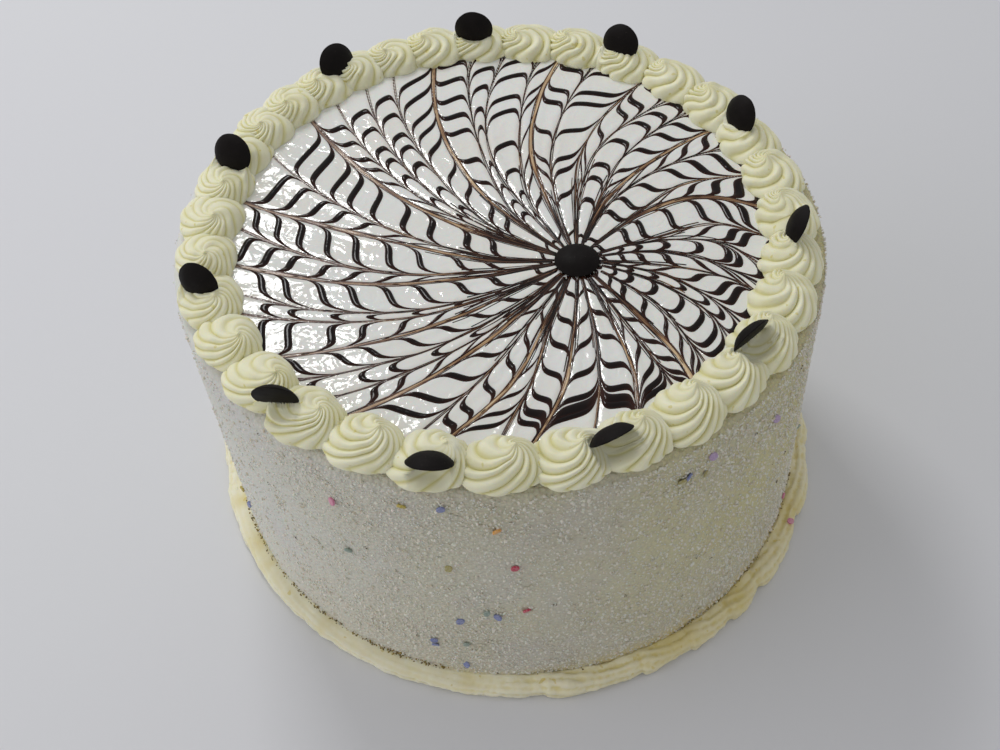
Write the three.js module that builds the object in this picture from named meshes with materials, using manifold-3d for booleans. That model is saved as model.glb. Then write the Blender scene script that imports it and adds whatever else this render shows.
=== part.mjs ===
import * as THREE from 'three';
import { mergeVertices } from 'three/addons/utils/BufferGeometryUtils.js';
import Module from 'manifold-3d';

// A tall round cream cake. Millimetres, +Z up, the origin at the middle of its foot.

const wasm = await Module();
wasm.setup();

// ---- Driving dimensions ----

// The iced cake itself, which leans a little towards -X on its way up.
const FOOT_RADIUS = 129;
const TOP_RADIUS = 130.9;
const HEIGHT = 144.3;
const LEAN = 5.7;
const TOP_EDGE_ROUND = 4;

// The poured glaze that covers the top.
const GLAZE_THICKNESS = 3;
const GLAZE_RADIUS = 126;

// The ring of piped rosettes, which sits a little nearer the front edge than the back.
const ROSETTE_COUNT = 33;
const ROSETTE_RING_RADIUS = 117;
const ROSETTE_RING_SHIFT = -4;
const ROSETTE_RADIUS = 14.3;
const ROSETTE_HEIGHT = 11;
const ROSETTE_RIDGES = 8;
const ROSETTE_RIDGE_DEPTH = 0.09;
const ROSETTE_TWIST = 70;
const ROSETTE_UNEVENNESS = 0.05;

// Rosettes are spaced by hand: closer together at the back left, wider at the back right.
const FIRST_ROSETTE_ANGLE = 86.3;
const SPACING_SWING = 6.9;
const SPACING_SWING_PHASE = 47.5;
const SPACING_RIPPLE = 2.6;
const SPACING_RIPPLE_PHASE = -15.4;

// The chocolate discs: flat behind, domed in front. The one in the middle is a little wider.
const DISC_RADIUS = 8.5;
const CENTRE_DISC_RADIUS = 8.9;
const DISC_THICKNESS = 3.8;
const DISC_RIM_THICKNESS = 0.5;
const DISC_SIDES = 16;

// Each standing disc: its place on the ring, how far out and how high its middle is,
// which way its domed face looks, and how far that face tilts up. Degrees and millimetres.
const STANDING_DISCS = [
  { at: 163.4, out: 113.6, up: 10.8, faces: -113.7, tilt: 25.0 },
  { at: -161.7, out: 120.2, up: 9.0, faces: -111.5, tilt: 12.0 },
  { at: -129.8, out: 124.2, up: 9.5, faces: 83.4, tilt: 15.1 },
  { at: -100.8, out: 127.4, up: 9.5, faces: 84.2, tilt: 53.4 },
  { at: -71.3, out: 121.5, up: 9.5, faces: 123.5, tilt: 39.8 },
  { at: -37.4, out: 116.3, up: 9.5, faces: 132.5, tilt: 17.1 },
  { at: -7.4, out: 118.2, up: 10.8, faces: 171.2, tilt: 22.0 },
  { at: 26.5, out: 114.6, up: 10.2, faces: -151.2, tilt: 21.0 },
  { at: 61.4, out: 115.4, up: 10.0, faces: -121.8, tilt: 23.7 },
  { at: 95.0, out: 114.3, up: 10.2, faces: -94.7, tilt: 4.3 },
  { at: 127.2, out: 116.4, up: 9.0, faces: -48.9, tilt: 26.9 },
];

// The disc that lies flat where the strokes of the web meet, measured from the cake's axis.
const CENTRE_DISC_X = 25.3;
const CENTRE_DISC_Y = -21.8;

// The piped border at the foot: long overlapping strokes, smeared flat on the left.
const BORDER_WIDTH = 9.4;
const BORDER_HEIGHT = 8;
const BORDER_STROKES = 25;
const BORDER_STEPS = 100;
const BORDER_STROKE_DEPTH = 0.2;
const BORDER_SMEAR_ANGLE = 170;
const BORDER_SMEAR = 0.22;

const GAP = 0.3;
const BODY_SIDES = 60;

const COLORS = {
  crumbCoat: 0xdcdad2,
  glaze: 0xf3f1ec,
  cream: 0xf0ebc8,
  borderCream: 0xe9dfae,
  chocolate: 0x1c1614,
};

const { degToRad, clamp, lerp } = THREE.MathUtils;

// ---- Helpers ----

// The same small unevenness every time, from -1 to 1, for one number of a piece.
function unevenness(index, channel) {
  const wave = Math.sin(index * 12.9898 + channel * 78.233) * 43758.5453;
  return 2 * (wave - Math.floor(wave)) - 1;
}

function named(name, geometry, color, roughness) {
  const material = new THREE.MeshStandardMaterial({ color, roughness, metalness: 0 });
  const mesh = new THREE.Mesh(geometry, material);
  mesh.name = name;
  return mesh;
}

function numbered(stem, index) {
  return `${stem}_${String(index + 1).padStart(2, '0')}`;
}

// A profile turned about Z: lathes turn about Y, so the result is stood up.
function turned(profile, sides) {
  const points = profile.map(([radius, z]) => new THREE.Vector2(radius, z));
  return new THREE.LatheGeometry(points, sides).rotateX(Math.PI / 2);
}

// Slides every point sideways by its height, which gives the cake its lean.
function leaned(geometry) {
  const place = geometry.getAttribute('position');
  for (let i = 0; i < place.count; i += 1) {
    place.setX(i, place.getX(i) - (LEAN * place.getZ(i)) / HEIGHT);
  }
  return geometry;
}

function closedMesh(positions, triangles) {
  const geometry = new THREE.BufferGeometry();
  geometry.setAttribute('position', new THREE.Float32BufferAttribute(positions, 3));
  geometry.setIndex(triangles);
  return geometry;
}

function toSolid(geometry) {
  const bare = geometry.clone();
  bare.deleteAttribute('normal');
  bare.deleteAttribute('uv');
  const merged = mergeVertices(bare, 1e-4);
  return new wasm.Manifold(new wasm.Mesh({
    numProp: 3,
    vertProperties: Float32Array.from(merged.getAttribute('position').array),
    triVerts: Uint32Array.from(merged.index.array),
  }));
}

function fromSolid(solid) {
  const { vertProperties, triVerts } = solid.getMesh();
  return closedMesh(Array.from(vertProperties), Array.from(triVerts));
}

// ---- The iced cake and its glaze ----

function cakeBody() {
  const top = HEIGHT - GLAZE_THICKNESS - GAP;
  const bulge = 0.6;
  const profile = [
    [0, 0],
    [FOOT_RADIUS, 0],
    [lerp(FOOT_RADIUS, TOP_RADIUS, 0.35) + bulge, top * 0.35],
    [lerp(FOOT_RADIUS, TOP_RADIUS, 0.7) + bulge, top * 0.7],
    [TOP_RADIUS, top - TOP_EDGE_ROUND],
    [TOP_RADIUS - TOP_EDGE_ROUND * 0.3, top - TOP_EDGE_ROUND * 0.3],
    [TOP_RADIUS - TOP_EDGE_ROUND, top],
    [0, top],
  ];
  return named('cake_body', leaned(turned(profile, BODY_SIDES)), COLORS.crumbCoat, 0.9);
}

function topGlaze() {
  const profile = [
    [0, 0],
    [GLAZE_RADIUS, 0],
    [GLAZE_RADIUS, GLAZE_THICKNESS * 0.6],
    [GLAZE_RADIUS - GLAZE_THICKNESS * 0.4, GLAZE_THICKNESS],
    [0, GLAZE_THICKNESS],
  ];
  const mesh = named('top_glaze', turned(profile, BODY_SIDES), COLORS.glaze, 0.15);
  mesh.position.z = -GLAZE_THICKNESS;
  return mesh;
}

// ---- Rosettes ----

function rosetteAngle(index) {
  const even = (index * 360) / ROSETTE_COUNT;
  const swing = SPACING_SWING * Math.cos(degToRad(even + SPACING_SWING_PHASE));
  const ripple = SPACING_RIPPLE * Math.cos(degToRad(2 * even + SPACING_RIPPLE_PHASE));
  return FIRST_ROSETTE_ANGLE + even + swing + ripple;
}

// One swirl of cream: rings of points that narrow and turn as they rise to a small peak.
// Local X points away from the ring's middle. Where a swirl would run into its neighbours,
// it is pressed flat against the plane halfway to each of them.
function rosetteGeometry(index) {
  const radius = ROSETTE_RADIUS * (1 + ROSETTE_UNEVENNESS * unevenness(index, 1));
  const height = ROSETTE_HEIGHT * (1 + 1.6 * ROSETTE_UNEVENNESS * unevenness(index, 2));
  const start = 180 * unevenness(index, 3);
  const before = degToRad(rosetteAngle(index) - rosetteAngle(index - 1)) / 2;
  const after = degToRad(rosetteAngle(index + 1) - rosetteAngle(index)) / 2;
  const levels = [[0.84, 0], [1, 0.3], [0.9, 0.58], [0.56, 0.86]];
  const sides = 2 * ROSETTE_RIDGES;
  const positions = [];

  levels.forEach(([reach, rise]) => {
    for (let side = 0; side < sides; side += 1) {
      const angle = degToRad(start + (side * 360) / sides + ROSETTE_TWIST * rise);
      const ridge = 1 + (side % 2 === 0 ? ROSETTE_RIDGE_DEPTH : -ROSETTE_RIDGE_DEPTH);
      const outward = ROSETTE_RING_RADIUS + radius * reach * ridge * Math.cos(angle);
      const along = radius * reach * ridge * Math.sin(angle);
      const distance = Math.hypot(outward, along);
      const margin = GAP / 2 / distance;
      const turn = clamp(Math.atan2(along, outward), margin - before, after - margin);
      positions.push(distance * Math.cos(turn) - ROSETTE_RING_RADIUS);
      positions.push(distance * Math.sin(turn));
      positions.push(height * rise);
    }
  });
  positions.push(0, 0, 0);
  positions.push(0, 0, height);

  const triangles = [];
  const bottom = levels.length * sides;
  const peak = bottom + 1;
  for (let side = 0; side < sides; side += 1) {
    const next = (side + 1) % sides;
    triangles.push(bottom, next, side);
    for (let level = 0; level < levels.length - 1; level += 1) {
      const low = level * sides;
      const high = low + sides;
      triangles.push(low + side, low + next, high + next);
      triangles.push(low + side, high + next, high + side);
    }
    const last = (levels.length - 1) * sides;
    triangles.push(last + side, last + next, peak);
  }
  return closedMesh(positions, triangles);
}

function rosette(index) {
  const mesh = named(numbered('rosette', index), rosetteGeometry(index), COLORS.cream, 0.55);
  const angle = degToRad(rosetteAngle(index));
  mesh.position.set(
    ROSETTE_RING_RADIUS * Math.cos(angle),
    ROSETTE_RING_SHIFT + ROSETTE_RING_RADIUS * Math.sin(angle),
    GAP,
  );
  mesh.rotation.z = angle;
  return mesh;
}

// ---- Chocolate discs ----

// A disc about its own Z, its flat back at -spare and its rim widened by spare.
function discGeometry(rimRadius, spare) {
  const radius = rimRadius + spare;
  const profile = [
    [0, -spare],
    [radius, -spare],
    [radius, DISC_RIM_THICKNESS],
    [radius * 0.66, DISC_THICKNESS * 0.64 + spare],
    [0, DISC_THICKNESS + spare],
  ];
  return turned(profile, DISC_SIDES);
}

function standingDisc({ at, out, up, faces, tilt }, index) {
  const mesh = named(numbered('disc', index), discGeometry(DISC_RADIUS, 0), COLORS.chocolate, 0.6);
  const angle = degToRad(at);
  mesh.position.set(out * Math.cos(angle), out * Math.sin(angle), up);
  mesh.rotation.set(0, degToRad(90 - tilt), degToRad(faces), 'ZYX');
  return mesh;
}

function centreDisc() {
  const mesh = named('disc_centre', discGeometry(CENTRE_DISC_RADIUS, 0), COLORS.chocolate, 0.6);
  mesh.position.set(CENTRE_DISC_X + LEAN, CENTRE_DISC_Y, GAP);
  return mesh;
}

// Cuts the slot that each disc has pressed into a rosette.
function pressDiscs(rosetteMesh, discs) {
  const toRosette = rosetteMesh.matrixWorld.clone().invert();
  const reach = ROSETTE_RADIUS * 1.2 + DISC_RADIUS;
  const near = discs.filter((disc) => disc.position.distanceTo(rosetteMesh.position) < reach);
  if (near.length === 0) {
    return;
  }
  let solid = toSolid(rosetteMesh.geometry);
  near.forEach((disc) => {
    const placing = toRosette.clone().multiply(disc.matrixWorld);
    solid = solid.subtract(toSolid(discGeometry(DISC_RADIUS, GAP).applyMatrix4(placing)));
  });
  rosetteMesh.geometry = fromSolid(solid);
}

// ---- The border at the foot ----

// How far a stroke has thinned, from its full start to its tail tucked under the next one.
function strokeFullness(turn) {
  const stroke = turn * BORDER_STROKES;
  const along = stroke - Math.floor(stroke);
  const smear = 0.5 + 0.5 * Math.cos(2 * Math.PI * turn - degToRad(BORDER_SMEAR_ANGLE));
  const depth = BORDER_STROKE_DEPTH * (1 - 0.8 * smear);
  return { width: 1 - depth * along * along, height: 1 - BORDER_SMEAR * smear - depth * along };
}

function footBorder() {
  const section = [[0, 0], [0.9, 0], [1, 0.3], [0.82, 0.72], [0.42, 1], [0, 0.9]];
  const inner = FOOT_RADIUS + 2 * GAP;
  const positions = [];
  const triangles = [];
  for (let step = 0; step < BORDER_STEPS; step += 1) {
    const turn = step / BORDER_STEPS;
    const fullness = strokeFullness(turn);
    section.forEach(([outward, upward]) => {
      const radius = inner + BORDER_WIDTH * outward * fullness.width;
      positions.push(radius * Math.cos(2 * Math.PI * turn));
      positions.push(radius * Math.sin(2 * Math.PI * turn));
      positions.push(BORDER_HEIGHT * upward * fullness.height);
    });
  }
  const count = section.length;
  for (let step = 0; step < BORDER_STEPS; step += 1) {
    const here = step * count;
    const ahead = ((step + 1) % BORDER_STEPS) * count;
    for (let side = 0; side < count; side += 1) {
      const next = (side + 1) % count;
      triangles.push(here + side, ahead + side, ahead + next);
      triangles.push(here + side, ahead + next, here + next);
    }
  }
  const geometry = leaned(closedMesh(positions, triangles));
  return named('foot_border', geometry, COLORS.borderCream, 0.55);
}

// ---- Assembly ----

const cake = new THREE.Group();
cake.add(cakeBody());
cake.add(footBorder());

// Everything on top shares a group that stands on the leaning cake's upper face.
const top = new THREE.Group();
top.position.set(-LEAN, 0, HEIGHT);
cake.add(top);

const rosettes = Array.from({ length: ROSETTE_COUNT }, (_, index) => rosette(index));
const discs = STANDING_DISCS.map(standingDisc);
top.add(topGlaze(), ...rosettes, ...discs, centreDisc());
cake.updateMatrixWorld(true);
rosettes.forEach((mesh) => pressDiscs(mesh, discs));

export default cake;
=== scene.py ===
import math

import bmesh
import bpy
import numpy as np
from mathutils import Matrix, Quaternion, Vector


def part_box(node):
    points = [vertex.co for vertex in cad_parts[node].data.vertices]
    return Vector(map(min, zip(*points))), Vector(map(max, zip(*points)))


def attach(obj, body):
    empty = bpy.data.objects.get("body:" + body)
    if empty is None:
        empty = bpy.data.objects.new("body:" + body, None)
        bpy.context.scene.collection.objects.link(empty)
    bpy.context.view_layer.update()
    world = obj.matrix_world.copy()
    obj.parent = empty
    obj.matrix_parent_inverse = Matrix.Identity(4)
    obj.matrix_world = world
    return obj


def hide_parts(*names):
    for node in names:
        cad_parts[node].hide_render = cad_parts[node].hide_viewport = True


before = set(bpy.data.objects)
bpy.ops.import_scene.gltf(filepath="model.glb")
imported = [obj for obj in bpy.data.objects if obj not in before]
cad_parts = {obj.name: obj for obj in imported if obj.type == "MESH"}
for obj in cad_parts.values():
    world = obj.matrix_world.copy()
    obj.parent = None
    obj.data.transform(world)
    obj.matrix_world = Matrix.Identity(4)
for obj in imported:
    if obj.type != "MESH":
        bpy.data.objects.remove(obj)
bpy.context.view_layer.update()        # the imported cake, every node at its real place, in metres

MM = 0.001
TURN = 2 * math.pi
chance = np.random.default_rng(26)

# ---- Places read from the frame ----

BODY_LOW, BODY_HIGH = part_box("cake_body")
GLAZE_LOW, GLAZE_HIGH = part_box("top_glaze")
_, BORDER_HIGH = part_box("foot_border")
TOP_CENTRE = (GLAZE_LOW + GLAZE_HIGH) / 2
TOP_X = TOP_CENTRE.x
TOP_Z = GLAZE_HIGH.z
GLAZE_RADIUS = (GLAZE_HIGH.x - GLAZE_LOW.x) / 2
BODY_TOP = BODY_HIGH.z
ROSETTES = sorted(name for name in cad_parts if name.startswith("rosette_"))
DISCS = sorted(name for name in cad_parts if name.startswith("disc_"))

FOOT_RADIUS = 129 * MM
TOP_RADIUS = 130.9 * MM
TOP_EDGE_ROUND = 4 * MM
WALL_GAP = 0.3 * MM


# ---- Working with Blender's tools ----

def drop_selection():
    bpy.ops.object.select_all(action="DESELECT")


def take(piece):
    """Selects one piece alone and makes it the active one."""
    drop_selection()
    piece.select_set(True)
    bpy.context.view_layer.objects.active = piece


def apply_modifiers(piece):
    take(piece)
    for modifier in list(piece.modifiers):
        bpy.ops.object.modifier_apply(modifier=modifier.name)


def apply_place(piece):
    """Moves the piece's place, turn and size into its mesh."""
    take(piece)
    bpy.ops.object.transform_apply(location=True, rotation=True, scale=True)


def add_modifier(piece, kind, **settings):
    modifier = piece.modifiers.new(kind.title(), kind)
    for key, value in settings.items():
        setattr(modifier, key, value)
    return modifier


def roughen(piece, name, size, depth, group=""):
    """Moves the surface in and out by cloudy noise: hills about that size, that deep from top to bottom."""
    texture = bpy.data.textures.new(name, "CLOUDS")
    texture.noise_scale = size
    add_modifier(piece, "DISPLACE", texture=texture, texture_coords="LOCAL", strength=depth,
                 mid_level=0.5, vertex_group=group)


def mesh_piece(name, points, faces, smooth=True):
    """A new object from arrays of points and faces."""
    mesh = bpy.data.meshes.new(name)
    mesh.from_pydata(np.asarray(points).tolist(), [], [list(map(int, face)) for face in faces])
    piece = bpy.data.objects.new(name, mesh)
    bpy.context.scene.collection.objects.link(piece)
    if smooth:
        mesh.polygons.foreach_set("use_smooth", [True] * len(mesh.polygons))
    mesh.update()
    return piece


def face_out(piece):
    """Merges doubles and turns every face outwards."""
    take(piece)
    bpy.ops.object.mode_set(mode="EDIT")
    bpy.ops.mesh.select_all(action="SELECT")
    bpy.ops.mesh.remove_doubles(threshold=0.01 * MM)
    bpy.ops.mesh.normals_make_consistent(inside=False)
    bpy.ops.object.mode_set(mode="OBJECT")


def points_of(piece):
    places = np.empty(len(piece.data.vertices) * 3)
    piece.data.vertices.foreach_get("co", places)
    return places.reshape(-1, 3)


def set_points(piece, places):
    piece.data.vertices.foreach_set("co", np.asarray(places, float).ravel())
    piece.data.update()


def normals_of(piece):
    normals = np.empty(len(piece.data.vertices) * 3)
    piece.data.vertices.foreach_get("normal", normals)
    return normals.reshape(-1, 3)


def paint_values(piece, name, values):
    """Stores one number for each point, for the material to read."""
    layer = piece.data.attributes.new(name, "FLOAT", "POINT")
    layer.data.foreach_set("value", np.asarray(values, np.float32))


def paint_colours(piece, name, colours):
    """Stores one colour for each point, for the material to read."""
    layer = piece.data.attributes.new(name, "FLOAT_COLOR", "POINT")
    layer.data.foreach_set("color", np.asarray(colours, np.float32).ravel())


def paint_places(piece, name, places):
    """Stores one place for each point, for the material to read."""
    layer = piece.data.attributes.new(name, "FLOAT_VECTOR", "POINT")
    layer.data.foreach_set("vector", np.asarray(places, np.float32).ravel())


def hollows_of(piece, rounds=3):
    """How deep each point lies between its neighbours, from about -1 on a ridge to 1 in a valley."""
    edges = np.empty(len(piece.data.edges) * 2, int)
    piece.data.edges.foreach_get("vertices", edges)
    a, b = edges.reshape(-1, 2).T
    places = points_of(piece)
    count = len(places)
    links = np.bincount(a, minlength=count) + np.bincount(b, minlength=count)
    smooth = places.copy()
    for _ in range(rounds):
        total = np.zeros_like(smooth)
        for axis in range(3):
            total[:, axis] += np.bincount(a, smooth[b, axis], minlength=count)
            total[:, axis] += np.bincount(b, smooth[a, axis], minlength=count)
        smooth = total / np.maximum(links, 1)[:, None]
    depth = ((smooth - places) * normals_of(piece)).sum(1)
    spread = max(float(np.percentile(np.abs(depth), 95)), 1e-9)
    return np.clip(depth / spread, -1, 1)


def finish(piece, material, slot, *nodes):
    """Gives the piece its material and its body, and hides the nodes that it stands for. The slot is not
    used.
    """
    piece.data.materials.clear()
    piece.data.materials.append(material)
    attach(piece, "root")
    if nodes:
        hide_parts(*nodes)


def grid_faces(rows, across):
    """The faces between the rows of a grid whose columns close into rings."""
    row, column = np.meshgrid(np.arange(rows - 1), np.arange(across), indexing="ij")
    after = (column + 1) % across
    here = row * across
    there = here + across
    corners = [here + column, there + column, there + after, here + after]
    return np.stack(corners, -1).reshape(-1, 4).tolist()


def fan_faces(middle, start, across, turned=False):
    """The faces from one point to a ring of points that begins at start."""
    if turned:
        return [[middle, start + (i + 1) % across, start + i] for i in range(across)]
    return [[middle, start + i, start + (i + 1) % across] for i in range(across)]


def loft(loops):
    """Points and faces of a closed tube through an array of closed sections, its ends capped."""
    rows, across = loops.shape[:2]
    first = list(range(across))
    last = [(rows - 1) * across + i for i in reversed(range(across))]
    return loops.reshape(-1, 3), grid_faces(rows, across) + [first, last]


def join_parts(parts):
    """One list of points and one of faces from several."""
    points = []
    faces = []
    start = 0
    for part_points, part_faces in parts:
        points.append(part_points)
        faces += [[start + i for i in face] for face in part_faces]
        start += len(part_points)
    return np.concatenate(points), faces


def through(values, step):
    """A smooth curve through the values, read at places counted from the first one."""
    values = np.asarray(values, float)
    i = np.clip(np.asarray(step).astype(int), 1, len(values) - 3)
    t = step - i
    before, here, after, later = (values[i + k] for k in (-1, 0, 1, 2))
    return 0.5 * (2 * here + (after - before) * t + (2 * before - 5 * here + 4 * after - later) * t ** 2
                  + (3 * here - before - 3 * after + later) * t ** 3)


# ---- Materials ----

def shade(red, green, blue):
    """A colour given as it looks on screen, 0 to 255, as the linear colour the shaders take."""
    def linear(value):
        value /= 255
        return value / 12.92 if value <= 0.04045 else ((value + 0.055) / 1.055) ** 2.4
    return (linear(red), linear(green), linear(blue), 1)


class Finish:
    """A node material that is put together one step at a time."""

    def __init__(self, name, **constants):
        self.material = bpy.data.materials.new(name)
        self.material.use_nodes = True
        self.tree = self.material.node_tree
        self.shader = self.tree.nodes["Principled BSDF"]
        self.place = self.node("ShaderNodeTexCoord").outputs["Object"]
        for key, value in constants.items():
            self.shader.inputs[key.replace("_", " ")].default_value = value

    def node(self, kind, **settings):
        node = self.tree.nodes.new(kind)
        for key, value in settings.items():
            setattr(node, key, value)
        return node

    def link(self, output, node_input):
        self.tree.links.new(output, node_input)

    def feed(self, node_input, value):
        if isinstance(value, bpy.types.NodeSocket):
            self.link(value, node_input)
        else:
            node_input.default_value = value

    def noise(self, size, detail=3.0, roughness=0.55, distortion=0.0, place=None):
        """Soft noise whose blots are about that size."""
        node = self.node("ShaderNodeTexNoise")
        node.inputs["Scale"].default_value = 1 / size
        node.inputs["Detail"].default_value = detail
        node.inputs["Roughness"].default_value = roughness
        node.inputs["Distortion"].default_value = distortion
        self.link(place or self.place, node.inputs["Vector"])
        return node.outputs["Fac"]

    def streaks(self, name, across, along):
        """Noise drawn out along a piece, over its painted places: x across it and y along it."""
        node = self.node("ShaderNodeVectorMath", operation="MULTIPLY")
        self.link(self.painted(name, "Vector"), node.inputs[0])
        node.inputs[1].default_value = (1 / across, 1 / along, 1)
        return self.noise(1.0, 2, 0.6, place=node.outputs["Vector"])

    def cells(self, size, feature="F1"):
        """Grains about that size: the distance from the middle of each."""
        node = self.node("ShaderNodeTexVoronoi", feature=feature)
        node.inputs["Scale"].default_value = 1 / size
        self.link(self.place, node.inputs["Vector"])
        return node.outputs["Distance"]

    def painted(self, name, output="Fac"):
        return self.node("ShaderNodeAttribute", attribute_name=name).outputs[output]

    def spread(self, value, low, high, new_low=0.0, new_high=1.0):
        node = self.node("ShaderNodeMapRange", clamp=True)
        self.feed(node.inputs["Value"], value)
        limits = {"From Min": low, "From Max": high, "To Min": new_low, "To Max": new_high}
        for key, number in limits.items():
            node.inputs[key].default_value = number
        return node.outputs["Result"]

    def sum(self, operation, first, second):
        node = self.node("ShaderNodeMath", operation=operation)
        self.feed(node.inputs[0], first)
        self.feed(node.inputs[1], second)
        return node.outputs["Value"]

    def blend(self, amount, first, second, kind="MIX"):
        node = self.node("ShaderNodeMix", data_type="RGBA", blend_type=kind)
        self.feed(node.inputs[0], amount)
        self.feed(node.inputs[6], first)
        self.feed(node.inputs[7], second)
        return node.outputs[2]

    def colour(self, value):
        self.feed(self.shader.inputs["Base Color"], value)

    def roughness(self, value):
        self.feed(self.shader.inputs["Roughness"], value)

    def bump(self, height, depth, strength=1.0):
        """Adds a relief of that depth to the ones before it."""
        node = self.node("ShaderNodeBump")
        node.inputs["Strength"].default_value = strength
        node.inputs["Distance"].default_value = depth
        self.feed(node.inputs["Height"], height)
        before = self.shader.inputs["Normal"].links
        if before:
            self.link(before[0].from_socket, node.inputs["Normal"])
        self.link(node.outputs["Normal"], self.shader.inputs["Normal"])


def crumb_coat_finish():
    """Cream under fine crumbs: cool white on the left, sandier on the right and at the foot and yellower at
    the foot, with a painted warm bounce light on the right and behind and a painted light that brightens
    the sandy foot.
    """
    skin = Finish("crumb_coat", Roughness=0.8, Subsurface_Weight=0.08, Subsurface_Scale=1.5 * MM)
    skin.shader.inputs["Specular IOR Level"].default_value = 0.3
    sand = skin.painted("sand")
    clean = shade(224, 226, 226)
    sandy = shade(216, 213, 200)
    cloud = skin.noise(26 * MM, 4)
    base = skin.blend(skin.sum("MULTIPLY", sand, skin.spread(cloud, 0.3, 0.7, 0.6, 1.0)), clean, sandy)
    # painted warm bounce light: the warm attribute tints the coat ivory-yellow on the right and behind
    base = skin.blend(skin.painted("warm"), base, shade(217, 209, 146))
    # painted light: the low attribute lightens the sandy front of the coat towards its foot
    base = skin.blend(skin.painted("low"), base, shade(240, 233, 210))
    grain = skin.cells(1.5 * MM)
    # painted shade: the sandy coat is darkened in the pits between its grains
    pits = skin.spread(grain, 0.25, 0.65)
    pitted = skin.sum("MULTIPLY", pits, skin.spread(sand, 0, 1, 0.0, 0.4))
    base = skin.blend(pitted, base, shade(184, 178, 160))
    specks = skin.spread(skin.noise(2.2 * MM, 2, 0.7), 0.66, 0.74)
    specked = skin.sum("MULTIPLY", specks, skin.spread(sand, 0, 1, 0.05, 0.25))
    base = skin.blend(specked, base, shade(196, 193, 190))
    lilac = skin.spread(skin.noise(40 * MM, 2), 0.45, 0.7, 0, 0.25)
    base = skin.blend(lilac, base, shade(206, 202, 214))
    base = skin.blend(skin.painted("yellow"), base, shade(222, 200, 112))
    skin.colour(base)
    skin.bump(skin.noise(5 * MM, 4), 0.5 * MM, 0.5)
    skin.bump(skin.sum("MULTIPLY", grain, sand), 0.9 * MM, 1.0)
    skin.bump(skin.noise(0.7 * MM, 3, 0.7), 0.25 * MM, 0.6)
    return skin.material


def crumb_finish(name, light, dark):
    """Single crumbs, each one its own tone."""
    skin = Finish(name, Roughness=0.75, Subsurface_Weight=0.1, Subsurface_Scale=1.0 * MM)
    tone = skin.painted("tone")
    skin.colour(skin.blend(tone, light, dark))
    skin.bump(skin.noise(0.4 * MM, 2), 0.1 * MM, 0.6)
    return skin.material


def glaze_finish():
    """Wet white glaze: very smooth, rippled by the comb, with the faintest warm clouds."""
    skin = Finish("glaze", Roughness=0.05, Subsurface_Weight=0.1, Subsurface_Scale=1.5 * MM)
    cloud = skin.noise(30 * MM, 3)
    base = skin.blend(skin.spread(cloud, 0.35, 0.7, 0, 0.6), shade(236, 237, 233), shade(232, 229, 219))
    base = skin.blend(skin.spread(skin.painted("combed"), 0, 1, 0, 0.5), base, shade(206, 184, 164))
    skin.colour(base)
    skin.roughness(skin.spread(skin.noise(8 * MM, 2), 0.3, 0.7, 0.03, 0.08))
    skin.bump(skin.noise(6.5 * MM, 1.0, 0.4, distortion=1.6), 0.55 * MM, 0.6)
    return skin.material


def web_finish():
    """Melted dark chocolate, nearly black and glossy, red-brown where it thins out at its edges."""
    skin = Finish("web_chocolate", Roughness=0.1)
    skin.shader.inputs["Specular IOR Level"].default_value = 0.2
    edge = skin.spread(skin.painted("edge"), 0.6, 1.0)
    thin = skin.painted("thin")
    dark = skin.blend(skin.noise(6 * MM), shade(11, 6, 5), shade(20, 11, 9))
    base = skin.blend(skin.sum("MULTIPLY", edge, 0.45), dark, shade(84, 44, 34))
    base = skin.blend(skin.sum("MULTIPLY", thin, 0.5), base, shade(86, 48, 36))
    skin.colour(base)
    skin.roughness(skin.spread(skin.noise(3 * MM), 0.3, 0.7, 0.06, 0.14))
    skin.bump(skin.noise(3.2 * MM, 2), 0.2 * MM, 0.5)
    return skin.material


def comb_finish():
    """The comb's streaks: white glaze and dark chocolate drawn out together into threads of tan."""
    skin = Finish("combed_streaks", Roughness=0.12)
    skin.shader.inputs["Specular IOR Level"].default_value = 0.35
    tan = skin.painted("tan")
    fine = skin.streaks("lie", 0.22 * MM, 14 * MM)
    broad = skin.streaks("lie", 0.8 * MM, 30 * MM)
    tone = skin.sum("ADD", tan, skin.spread(fine, 0.3, 0.7, -0.5, 0.5))
    tone = skin.sum("ADD", tone, skin.spread(broad, 0.3, 0.7, -0.3, 0.3))
    base = skin.blend(skin.spread(tone, 0.0, 0.35), shade(16, 8, 6), shade(96, 60, 42))
    base = skin.blend(skin.spread(tone, 0.35, 0.8), base, shade(186, 150, 108))
    base = skin.blend(skin.spread(tone, 0.8, 1.2), base, shade(224, 202, 166))
    # painted sheen: on the left the strokes are washed half way to grey, where the window's reflection lies
    base = skin.blend(skin.painted("left_sheen"), base, skin.blend(0.5, base, shade(150, 132, 128)))
    skin.colour(base)
    skin.roughness(skin.spread(fine, 0.3, 0.7, 0.07, 0.16))
    skin.bump(fine, 0.08 * MM, 0.6)
    return skin.material


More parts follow.
